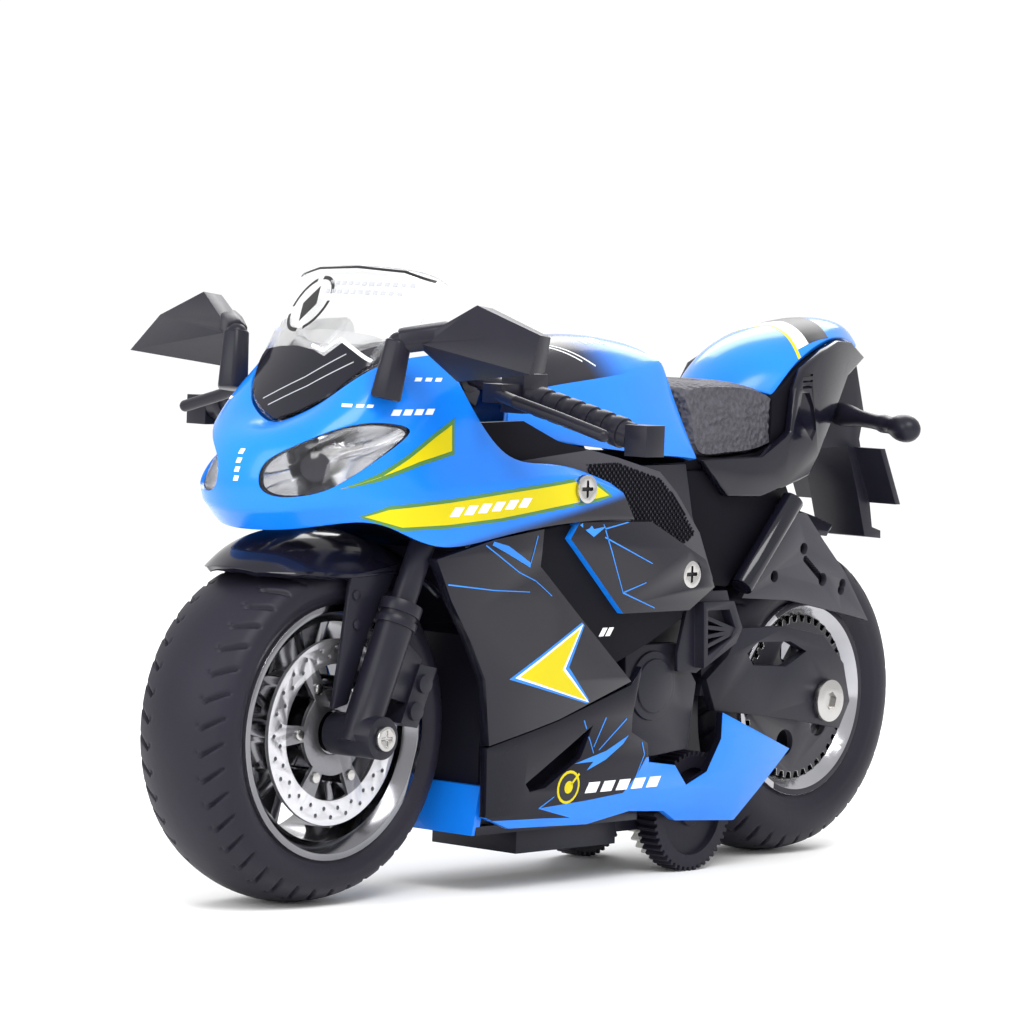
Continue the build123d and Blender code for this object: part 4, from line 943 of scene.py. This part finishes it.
THIN_LINES = [
    [(8.6, 24.0), (5.8, 19.2)], [(3.8, 24.2), (5.9, 20.1)], [(-0.8, 23.8), (4.7, 19.6)],
    [(16.2, 11.9), (13.2, 13.4)], [(-4.8, 20.2), (-5.7, 18.4), (-4.4, 15.2)],
    [(34.5, 50.5), (25.5, 45.5), (22.0, 44.2), (18.4, 42.0)], [(40.0, 44.2), (30.0, 43.1), (23.0, 42.7)],
    [(8.0, 51.0), (5.5, 46.5), (3.0, 42.0)], [(3.0, 42.0), (-4.4, 39.6)], [(8.0, 51.2), (1.5, 52.3)],
    [(10.0, 53.6), (8.0, 51.2)], [(3.0, 42.0), (-2.0, 43.3)], [(8.0, 50.0), (-3.0, 46.0)],
    [(23.0, 52.6), (22.3, 50.5), (23.4, 46.6)],
]


def build_side_panels():
    """Panels moulded in blue with the outer faces painted."""
    upper, lower = [], []
    for _, label in SIDES:
        panel = refined(f"side_fairing_{label}", [BLUE, WING_BLUE, BLACK_MATT], 0.2)
        paint_faces(panel, painted_upper, 1)
        # Painted shade: the sunk floor of the slot is painted matt black.
        paint_faces(panel, shaded_slot_floor, 2)
        upper.append(panel)
        panel = refined(f"lower_fairing_{label}", [BLUE, BLACK_PAINT], 0.2)
        paint_faces(panel, painted_lower, 1)
        paint_region(panel, LOWER_BLUE, 0, outward_face)
        lower.append(panel)
    return upper, lower


def slanted_dashes(x, z, count, length, height, pitch, lean, climb=0.0):
    """Row of leaning bars that starts at a flat place and runs backwards."""
    bars = []
    for i in range(count):
        a, b = x - i * pitch, z + i * climb
        bars.append([(a, b), (a - length, b), (a - length - lean, b + height), (a - lean, b + height)])
    return bars


def build_decoration(cowl, upper, lower):
    wing = Ground([cowl])
    sides = Ground(upper + lower)
    both_films("wing_stripe_edge", [WING_STRIPE], wing, OLIVE, lift=0.04)
    both_films("wing_stripe", [inset(WING_STRIPE, 0.5)], wing, YELLOW, lift=0.07)
    both_films("nose_stripe_edge", [NOSE_STRIPE], wing, OLIVE, lift=0.04)
    both_films("nose_stripe", [inset(NOSE_STRIPE, 0.55)], wing, YELLOW, lift=0.07)
    both_films("wing_dashes", slanted_dashes(40, 53.4, 6, 1.7, 1.3, 2.6, 1.0, 0.22), wing, WHITE,
               lift=0.1, step=0.8)
    both_films("cowl_dashes", slanted_dashes(49.5, 67.0, 4, 1.4, 0.8, 2.0, 0.6, 0.05), wing, WHITE,
               lift=0.06, step=0.8)
    flecks = slanted_dashes(44.6, 71.6, 3, 1.1, 0.5, 1.8, 0.4)
    flecks += slanted_dashes(55.2, 68.0, 3, 0.8, 0.4, 1.2, 0.3)
    both_films("brow_flecks", flecks, wing, WHITE, lift=0.06, step=0.5)
    marks = [[(0.5, z), (-0.3, z), (-0.1, z + 0.7), (0.7, z + 0.7)] for z in (57.6, 58.8, 60.0, 61.2)]
    add_film("nose_marks", marks, wing, "front", WHITE, lift=0.06, step=0.4)
    both_films("delta_shadow", [DELTA], sides, SKY, lift=0.04)
    both_films("delta_edge", [inset(DELTA, 0.65)], sides, WHITE, lift=0.07)
    both_films("delta_fill", [inset(DELTA, 1.15)], sides, YELLOW, lift=0.1)
    both_films("flashes", BLUE_FLASHES, sides, SKY, lift=0.06, step=0.8)
    thin = [ribbon(densified(route), 0.2, 0.12) for route in THIN_LINES]
    both_films("thin_lines", thin, sides, SKY, lift=0.05, step=0.8)
    badge = (10.4, 14.6)
    both_films("badge_ring", [disc_outline(*badge, 2.4)], sides, YELLOW, lift=0.05, step=0.7)
    both_films("badge_field", [disc_outline(*badge, 2.0)], sides, INK_AND_SHADE, lift=0.08, step=0.7)
    both_films("badge_heart", [disc_outline(*badge, 0.9)], sides, YELLOW, lift=0.11, step=0.5)
    both_films("badge_hand", [ribbon([(9.9, 15.0), (8.4, 16.4)], 0.35)], sides, YELLOW, lift=0.11, step=0.5)
    both_films("lower_dashes", slanted_dashes(6.6, 13.5, 5, 2.4, 1.5, 3.4, 0.7), sides, WHITE, lift=0.09,
               step=0.8)
    both_films("slot_mark", slanted_dashes(6.2, 35.8, 2, 1.0, 1.2, 1.4, 0.8), sides, WHITE, lift=0.05,
               step=0.5)


# ---------------------------------------------------------------- wheels
def turned_profile(name, profile, x, z, sides, shape=None):
    """Closed ring: an (r, y) profile turned about a cross axle, each point passed through shape."""
    points, faces = [], []
    m = len(profile)
    for i in range(sides):
        turn = 2 * math.pi * i / sides
        for r, y in profile:
            if shape:
                r, y = shape(turn, r, y)
            points.append((x + r * math.cos(turn), y, z + r * math.sin(turn)))
    for i in range(sides):
        j = (i + 1) % sides
        for k in range(m):
            after = (k + 1) % m
            faces.append((i * m + k, j * m + k, j * m + after, i * m + after))
    return closed_mesh(name, points, faces)


FRONT_X, REAR_X, AXLE_Z = 51.4, -51.4, 23.8
TYRE_RADIUS, TYRE_HALF, BEAD_HALF = 23.8, 8.4, 7.0
FRONT_BEAD, REAR_BEAD = 16.2, 13.6
TREAD_CUTS = 40


def arc_points(start, middle, end, parts):
    """Points on the circle through three flat points."""
    a, b, c = (Vector(p) for p in (start, middle, end))
    d = 2 * (a.x * (b.y - c.y) + b.x * (c.y - a.y) + c.x * (a.y - b.y))
    squares = [p.length_squared for p in (a, b, c)]
    centre = Vector(((squares[0] * (b.y - c.y) + squares[1] * (c.y - a.y) + squares[2] * (a.y - b.y)) / d,
                     (squares[0] * (c.x - b.x) + squares[1] * (a.x - c.x) + squares[2] * (b.x - a.x)) / d))
    radius = (a - centre).length
    first = math.atan2(a.y - centre.y, a.x - centre.x)
    last = math.atan2(c.y - centre.y, c.x - centre.x)
    via = math.atan2(b.y - centre.y, b.x - centre.x)
    sweep = (last - first) % (2 * math.pi)
    if (via - first) % (2 * math.pi) > sweep:
        sweep -= 2 * math.pi
    return [(centre.x + radius * math.cos(first + sweep * i / parts),
             centre.y + radius * math.sin(first + sweep * i / parts)) for i in range(parts + 1)]


def build_tyre(name, node, body, x, bead_radius):
    """Road tyre with slanting cuts on its shoulders and a plain side wall with one raised ring."""
    shoulder = (TYRE_RADIUS - 1.5, TYRE_HALF - 1.7)
    side = (TYRE_RADIUS - 3.6, TYRE_HALF)
    edge = (bead_radius + 1.5, BEAD_HALF + 0.4)
    crown = arc_points((shoulder[0], -shoulder[1]), (TYRE_RADIUS, 0), shoulder, 44)
    left = arc_points(shoulder, side, edge, 16)
    right = [(r, -y) for r, y in reversed(left)]
    seat = [(bead_radius, BEAD_HALF), (bead_radius, -BEAD_HALF)]
    profile = crown + left[1:] + seat + right[:-1]

    def slit(place, span, share, width):
        """Depth of a short cut, from 0 to 1, with soft walls."""
        low, high = span
        if not low < share < high:
            return 0.0
        away = abs((place % 1.0) - 0.5) / width
        end = min(share - low, high - share) / 0.04
        return max(0.0, 1 - away ** 4) * min(1.0, end)

    def tread(turn, r, y):
        share = abs(y) / TYRE_HALF
        count = turn * TREAD_CUTS / (2 * math.pi)
        if r < TYRE_RADIUS - 3.4:
            rib = max(0.0, 1 - abs(r - bead_radius - 3.2) / 0.35)
            return (r, y + math.copysign(0.1 * rib, y) if abs(y) > BEAD_HALF else y)
        depth = max(slit(count - 1.5 * share, (0.56, 0.95), share, 0.10),
                    0.6 * slit(count + 1.9 * share, (0.49, 0.55), share, 0.12))
        return (r - 0.45 * depth, y)

    mesh = turned_profile(name, profile, x, AXLE_Z, 720, tread)
    return settle(add_piece(name, mesh, body, [RUBBER], [node]), 40)


def build_wheels():
    build_tyre("front_road_tyre", "front_tyre", "front_wheel", FRONT_X, FRONT_BEAD)
    build_tyre("rear_road_tyre", "rear_tyre", "rear_wheel", REAR_X, REAR_BEAD)
    for node, x, bead_radius, barrel, spokes in (
            ("front_rim", FRONT_X, FRONT_BEAD, DARK_CHROME, DARK_CHROME),
            ("rear_rim", REAR_X, REAR_BEAD, BARREL, BLACK_SATIN)):
        wheel = refined(node, [barrel, CHROME, spokes], 0.24, 2, 40)

        def radius(centre):
            return math.hypot(centre.x - x, centre.z - AXLE_Z)

        paint_faces(wheel, lambda centre, normal: radius(centre) < bead_radius - 2.4, 2)
        paint_faces(wheel, lambda centre, normal: radius(centre) > bead_radius + 0.92, 1)
    refined("front_brake_discs", [ringed("ringed_disc", FRONT_X, AXLE_Z, 9.3)], 0.12, 2, 40)
    refined("rear_brake_disc", [DISC_STEEL], 0.12, 2, 40)
    refined("front_disc_bolts", [STEEL], 0.12, 2, 40)
    sprocket = refined("rear_sprocket", [GREY_SATIN, STEEL], 0.12, 2, 40)
    paint_faces(sprocket, lambda centre, normal: math.hypot(centre.x - REAR_X, centre.z - AXLE_Z) > 11.2, 1)
    for node in ("drive_wheels", "drive_shaft", "drive_gear", "motor_pinion"):
        refined(node, [], 0.06, 1, 40)


# Painted shade: matt black at the upper front of the frame covers, as (x, z).
COVER_SHADE = [(34.0, 59.6), (34.0, 69.0), (9.0, 69.0), (9.0, 62.0)]
# Width of the softened edges of each part, in millimetres.
EDGE_WIDTHS = {
    "fork_slider_left": 0.3, "fork_slider_right": 0.3, "fork_tubes": 0.15, "brake_calipers": 0.3,
    "lower_yoke": 0.35, "upper_clamp": 0.35, "front_axle": 0.15, "handlebars": 0.3, "hand_grips": 0.3,
    "hand_levers": 0.2, "mirror_left": 0.35, "mirror_right": 0.35, "chassis_frame": 0.2,
    "frame_cover_left": 0.3, "frame_cover_right": 0.3, "footpeg_bracket_left": 0.25,
    "footpeg_bracket_right": 0.25, "engine_covers": 0.3, "belly_pan": 0.25, "battery_hatch": 0.3,
    "power_switch": 0.15, "battery_pack": 0.3, "circuit_board": 0.1, "motor": 0.2, "rear_axle": 0.15,
    "rear_mudguard": 0.3, "subframe_struts": 0.25, "swingarm": 0.35, "tail_side_left": 0.35,
    "tail_side_right": 0.35, "body_screws": 0.1,
}


def build_hardware():
    """Moulded and turned parts in their CAD shape, with their edges softened."""
    special = {"tail_side_left": [BLACK_GLOSS], "tail_side_right": [BLACK_GLOSS], "body_screws": [STEEL, INK_AND_SHADE],
               "frame_cover_left": [GREY_SATIN, BLACK_MATT], "frame_cover_right": [GREY_SATIN, BLACK_MATT],
               "belly_pan": [BLACK_SATIN, BLUE]}
    hardware = {node: refined(node, special.get(node), width) for node, width in EDGE_WIDTHS.items()}
    screws = hardware["body_screws"]
    # Painted shade: the cross recesses of the screw heads are painted black.
    for (x, z), face in ((FAIRING_SCREW, FAIRING_FACE), (COVER_SCREW, COVER_FACE)):
        paint_faces(screws, lambda centre, normal: math.hypot(centre.x - x, centre.z - z) < 1.25
                    and face + 0.1 < abs(centre.y) < face + 0.7, 1)
    for _, label in SIDES:
        # Painted shade: the upper front of each frame cover is painted matt black.
        paint_region(hardware[f"frame_cover_{label}"], COVER_SHADE, 1, outward_face)
    sockets = [cylinder("socket", (REAR_X, side * 12.8, AXLE_Z), (REAR_X, side * 15, AXLE_Z), 1.4, 6)
               for side in (1, -1)]
    cut(hardware["rear_axle"], sockets)
    paint_faces(hardware["belly_pan"], lambda centre, normal: centre.x > 24.5 and centre.z > 10.5, 1)
    return hardware


# Crosswise sections of the tray as (x, half width, top, bottom), and side outlines as (x, z).
TRAY_STATIONS = [(-38.6, 9.9, 69.2, 62.0), (-42.0, 9.9, 71.6, 62.4), (-46.0, 9.5, 74.4, 63.0),
                 (-50.0, 9.0, 76.0, 65.0), (-55.0, 7.9, 77.0, 69.0), (-60.0, 6.4, 77.0, 72.6),
                 (-63.4, 5.0, 76.6, 74.4)]
SEAT_BASE = [(-19.4, 60.6), (-28.6, 60.4), (-36.5, 61.1), (-42.0, 63.6), (-42.0, 59.0), (-19.4, 57.6)]
INNER_PLATE = [(-18.6, 58.6), (-20.1, 52.0), (-25.2, 41.7), (-29.4, 41.4), (-43.6, 54.6), (-41.0, 58.6)]
HUGGER_SIDE = [(-33.0, 39.6), (-37.0, 44.5), (-45.8, 52.0), (-47.8, 51.9), (-52.4, 47.6), (-57.8, 42.9),
               (-64.2, 35.2), (-57.4, 36.6), (-44.6, 38.9)]
TAIL_RECESS = [(-43.9, 70.0), (-45.9, 70.0), (-47.2, 68.0), (-48.2, 64.4), (-47.1, 62.8), (-43.9, 65.6),
               (-43.3, 67.4)]
MESH_AREA = [(8.6, 60.0), (6.2, 54.6), (-3.6, 51.4), (-12.6, 47.8), (-16.2, 49.8), (-11.2, 55.2), (-7.8, 57.8),
             (2.0, 60.2)]


def prism_piece(name, outline, y_from, y_to, material, holes=()):
    """Plate with an (x, z) outline between two y levels, with round holes (x, z, radius)."""
    mesh = swept(name, [(x, y_from, z) for x, z in outline], (0, y_to - y_from, 0))
    thing = add_piece(name, mesh, "chassis", [material])
    if holes:
        low, high = min(y_from, y_to) - 1, max(y_from, y_to) + 1
        cut(thing, [cylinder("hole", (x, low, z), (x, high, z), radius, 24) for x, z, radius in holes])
    soften(thing, 0.25)


def build_tail_parts(hardware):
    """Tray that closes the tail, the inner side plates, the recess and slits of the tail sides."""
    points = []
    for x, half, top, bottom in TRAY_STATIONS:
        points += [(x, half, top), (x, -half, top), (x, -half, bottom), (x, half, bottom)]
    stations = len(TRAY_STATIONS)
    mesh = closed_mesh("tail_tray", points, side_faces(stations, 4) + end_faces(stations, 4))
    prism_piece("seat_base", SEAT_BASE, -9.3, 9.3, BLACK_MATT)
    soften(add_piece("tail_tray", mesh, "chassis", [BLACK_MATT]), 0.3)
    for side, label in SIDES:
        prism_piece(f"inner_plate_{label}", INNER_PLATE, side * 9.3, side * 10.1, BLACK_MATT)
        tail = hardware[f"tail_side_{label}"]
        cutters = [swept("recess", [(x, side * 10.7, z) for x, z in TAIL_RECESS], (0, side * 3, 0))]
        for lift in (0.0, 0.9, 1.8):
            slit = [(-43.9, 70.6 + lift), (-46.6, 70.7 + lift), (-46.7, 71.05 + lift), (-44.0, 70.95 + lift)]
            cutters.append(swept("slit", [(x, side * 10.9, z) for x, z in slit], (0, side * 3, 0)))
        cut(tail, cutters)


def build_hugger():
    """Rear hugger: side plates with holes and a crowned arch that ends in a point."""
    holes = [(-47.5, 46.6, 0.9), (-40.6, 42.6, 0.9), (-57.1, 40.1, 0.8), (-57.4, 41.0, 0.8), (-52.4, 41.8, 1.0)]
    holes += [(-48.0 - 0.46 * i, 45.0 - 0.34 * i, 0.55) for i in range(9)]
    arch = []
    for y, inner_end, radius in ((9.3, 97, 25.4), (6.6, 106, 27.0), (3.4, 115, 28.2), (0.0, 120, 28.8)):
        turns = [math.radians(58 + (inner_end - 58) * i / 6) for i in range(7)]
        arch.append([(REAR_X + radius * math.cos(t), y, AXLE_Z + radius * math.sin(t)) for t in turns])
    add_shell("hugger_arch", from_ridge(arch[::-1]), "chassis", [BLACK_SATIN], "black_satin",
              ["rear_hugger"], 0.9, (REAR_X, 0, AXLE_Z), levels=3)
    for side, label in SIDES:
        prism_piece(f"hugger_side_{label}", HUGGER_SIDE, side * 9.1, side * 10.1, GREY_SATIN, holes)


# Reach along an indicator's stalk and radius there.
INDICATOR_PROFILE = [(0.0, 1.9), (4.6, 1.8), (6.0, 1.3), (9.0, 1.15), (11.4, 1.1), (12.2, 1.5), (13.4, 1.25),
                     (14.6, 1.35), (15.6, 1.85), (16.8, 2.1), (18.2, 2.05), (19.2, 1.5)]


def build_indicators():
    """Stalks with a thick foot and a drop-shaped end."""
    for side, label in SIDES:
        foot, end = Vector((-60.2, side * 4.4, 66.8)), Vector((-56.1, side * 23.8, 64.9))
        along = (end - foot).normalized()
        profile = INDICATOR_PROFILE + [((end - foot).length - 0.15, 0.7)]
        rings = [(foot + along * reach, radius) for reach, radius in profile]
        mesh = turned_bar(f"indicator_{label}", rings, 28)
        thing = add_piece(mesh.name, mesh, BODY_OF["indicators"], [BLACK_SATIN],
                          ["indicators"] if label == "left" else [])
        smooth = thing.modifiers.new("smooth", "SUBSURF")
        smooth.levels = smooth.render_levels = 1
        settle(thing, 60)


def clipped(a, b, outline):
    """Parts of the flat line a-b that lie inside an outline."""
    a, b = Vector(a), Vector(b)
    along = b - a
    shares = []
    for p, q in zip(outline, outline[1:] + outline[:1]):
        p, q = Vector(p), Vector(q)
        edge = q - p
        cross = along.x * edge.y - along.y * edge.x
        if abs(cross) > 1e-9:
            share = ((p.x - a.x) * edge.y - (p.y - a.y) * edge.x) / cross
            place = ((p.x - a.x) * along.y - (p.y - a.y) * along.x) / cross
            if 0 <= place < 1:
                shares.append(share)
    shares.sort()
    return [(a + along * one, a + along * two) for one, two in zip(shares[::2], shares[1::2])]


def build_mesh_grid():
    """Raised crossed ribs on the frame covers."""
    for side, label in SIDES:
        points, faces = [], []
        for lean in (1, -1):
            for number in range(-30, 50):
                start = (-40 + number * 0.95 if lean > 0 else 50 - number * 0.95, 30.0)
                for a, b in clipped(start, (start[0] + lean * 40, 70.0), MESH_AREA):
                    across = Vector((-(b - a).y, (b - a).x)).normalized() * 0.13
                    corners = [a + across, b + across, b - across, a - across]
                    base = len(points)
                    points += [(c.x, side * level, c.y) for level in (14.2, 14.42) for c in corners]
                    faces += [[base + i for i in face] for face in end_faces(2, 4) + side_faces(2, 4)]
        mesh = closed_mesh(f"cover_grid_{label}", points, faces)
        settle(add_piece(mesh.name, mesh, BODY_OF["frame_cover_left"], [BLACK_MATT]))


def add_black(mesh, body, width):
    """Small black moulded piece with softened edges."""
    soften(add_piece(mesh.name, mesh, body, [BLACK_SATIN]), width)


def build_mirror_arms():
    """Six-sided sleeves of the mirror stalks."""
    foot, elbow, head = Vector((50.9, 14.3, 69.2)), Vector((49.6, 15.2, 77.2)), Vector((45.4, 20.6, 78.2))
    for side, label in SIDES:
        for part, start, end, first, last in (("foot", foot, elbow, 2.4, 2.0), ("arm", elbow, head, 1.7, 2.0)):
            start, end = [Vector((p.x, side * p.y, p.z)) for p in (start, end)]
            mesh = cylinder(f"mirror_{part}_{label}", start, end, first, 6, last)
            add_black(mesh, BODY_OF["mirror_left"], 0.4)


# Lengthwise lines from the ridge down to the left edge, each from front to back, in millimetres.
FENDER_LINES = [
    [(66.2, 0, 46.1), (63.6, 0, 48.2), (58.6, 0, 50.5), (52.0, 0, 51.9), (44.0, 0, 51.2), (37.4, 0, 48.4),
     (33.2, 0, 45.6)],
    [(65.6, 2.2, 46.0), (63.2, 4.4, 47.7), (58.4, 6.6, 49.7), (52.0, 7.6, 50.8), (43.8, 7.6, 50.1),
     (37.2, 7.2, 47.7), (33.0, 7.0, 45.0)],
    [(64.6, 4.6, 45.7), (62.6, 7.6, 45.6), (58.6, 9.7, 45.5), (52.0, 10.4, 44.7), (44.2, 10.5, 45.6),
     (37.6, 10.2, 45.2), (33.0, 9.8, 42.0)],
]
FENDER_STAY = [(42.4, 46.4), (51.8, 45.4), (53.2, 35.0), (54.6, 27.2), (51.6, 27.8), (48.0, 37.5)]


def build_fender():
    add_shell("front_mudguard", from_ridge(FENDER_LINES), "steering", [BLACK_GLOSS], "black_gloss",
              ["front_fender"], 0.9, (50, 0, 30), levels=3)
    for side, label in SIDES:
        outline = [(x, side * 9.35, z) for x, z in FENDER_STAY]
        add_black(swept(f"mudguard_stay_{label}", outline, (0, side * 0.9, 0)), "steering", 0.3)
        for x, z in ((50.9, 42.6), (50.6, 38.6)):
            name = f"mudguard_rivet_{label}_{int(z)}"
            add_black(cylinder(name, (x, side * 10.1, z), (x, side * 10.6, z), 0.7, 20), "steering", 0.15)


# ---------------------------------------------------------------- camera, light and floor
CAMERA_PLACE = Vector((530.8, 455.6, 91.3)) * MM
CAMERA_HEADING = math.radians(221.06)
CAMERA_DIP = math.radians(3.21)
CAMERA_ROLL = math.radians(2.16)
CAMERA_LENS = 171.2


def add_camera():
    forward = Vector((math.cos(CAMERA_HEADING) * math.cos(CAMERA_DIP),
                      math.sin(CAMERA_HEADING) * math.cos(CAMERA_DIP), -math.sin(CAMERA_DIP)))
    level = Vector((math.sin(CAMERA_HEADING), -math.cos(CAMERA_HEADING), 0))
    upright = level.cross(forward)
    right = math.cos(CAMERA_ROLL) * level + math.sin(CAMERA_ROLL) * upright
    up = -math.sin(CAMERA_ROLL) * level + math.cos(CAMERA_ROLL) * upright
    camera = linked("camera", bpy.data.cameras.new("camera"))
    camera.data.lens = CAMERA_LENS
    camera.data.sensor_width = 36.0
    camera.data.clip_start = 0.01
    turn = Matrix((right, up, -forward)).transposed().to_4x4()
    camera.matrix_world = Matrix.Translation(CAMERA_PLACE) @ turn
    bpy.context.scene.camera = camera


def add_light(name, place, target, size, power):
    light = linked(name, bpy.data.lights.new(name, "AREA"))
    light.data.shape = "RECTANGLE"
    light.data.size, light.data.size_y = size
    light.data.energy = power
    aim = (Vector(target) - Vector(place)).to_track_quat("-Z", "Y")
    light.matrix_world = Matrix.Translation(Vector(place)) @ aim.to_matrix().to_4x4()


def add_stage():
    far = 6.0
    mesh = bpy.data.meshes.new("floor")
    mesh.from_pydata([(-far, -far, 0), (far, -far, 0), (far, far, 0), (-far, far, 0)], [], [(0, 1, 2, 3)])
    floor = linked("floor", mesh)
    material, _, _, shader = new_material("pale_floor")
    set_inputs(shader, Base_Color=(0.97, 0.97, 0.97, 1), Roughness=0.6, Specular_IOR_Level=0.2)
    mesh.materials.append(material)
    world = bpy.data.worlds.new("studio")
    world.use_nodes = True
    set_inputs(world.node_tree.nodes["Background"], Color=(1.0, 1.0, 1.0, 1), Strength=1.06)
    bpy.context.scene.world = world


build_wheels()
hardware = build_hardware()
build_fender()
build_tail_parts(hardware)
build_hugger()
build_indicators()
build_mesh_grid()
build_mirror_arms()
cowl = build_cowl()
build_screen()
build_headlights(Ground([cowl]))
build_tank()
build_hump()
build_seat()
upper_panels, lower_panels = build_side_panels()
build_decoration(cowl, upper_panels, lower_panels)

add_camera()
bpy.context.scene.view_settings.view_transform = "Standard"
add_light("key", (0.25, 0.35, 0.6), (0, 0, 0.04), (0.45, 0.3), 4)
add_light("front", (0.6, -0.1, 0.3), (0, 0, 0.05), (0.3, 0.4), 1.5)
add_light("back", (-0.4, -0.3, 0.4), (0, 0, 0.05), (0.4, 0.3), 1.5)
add_stage()
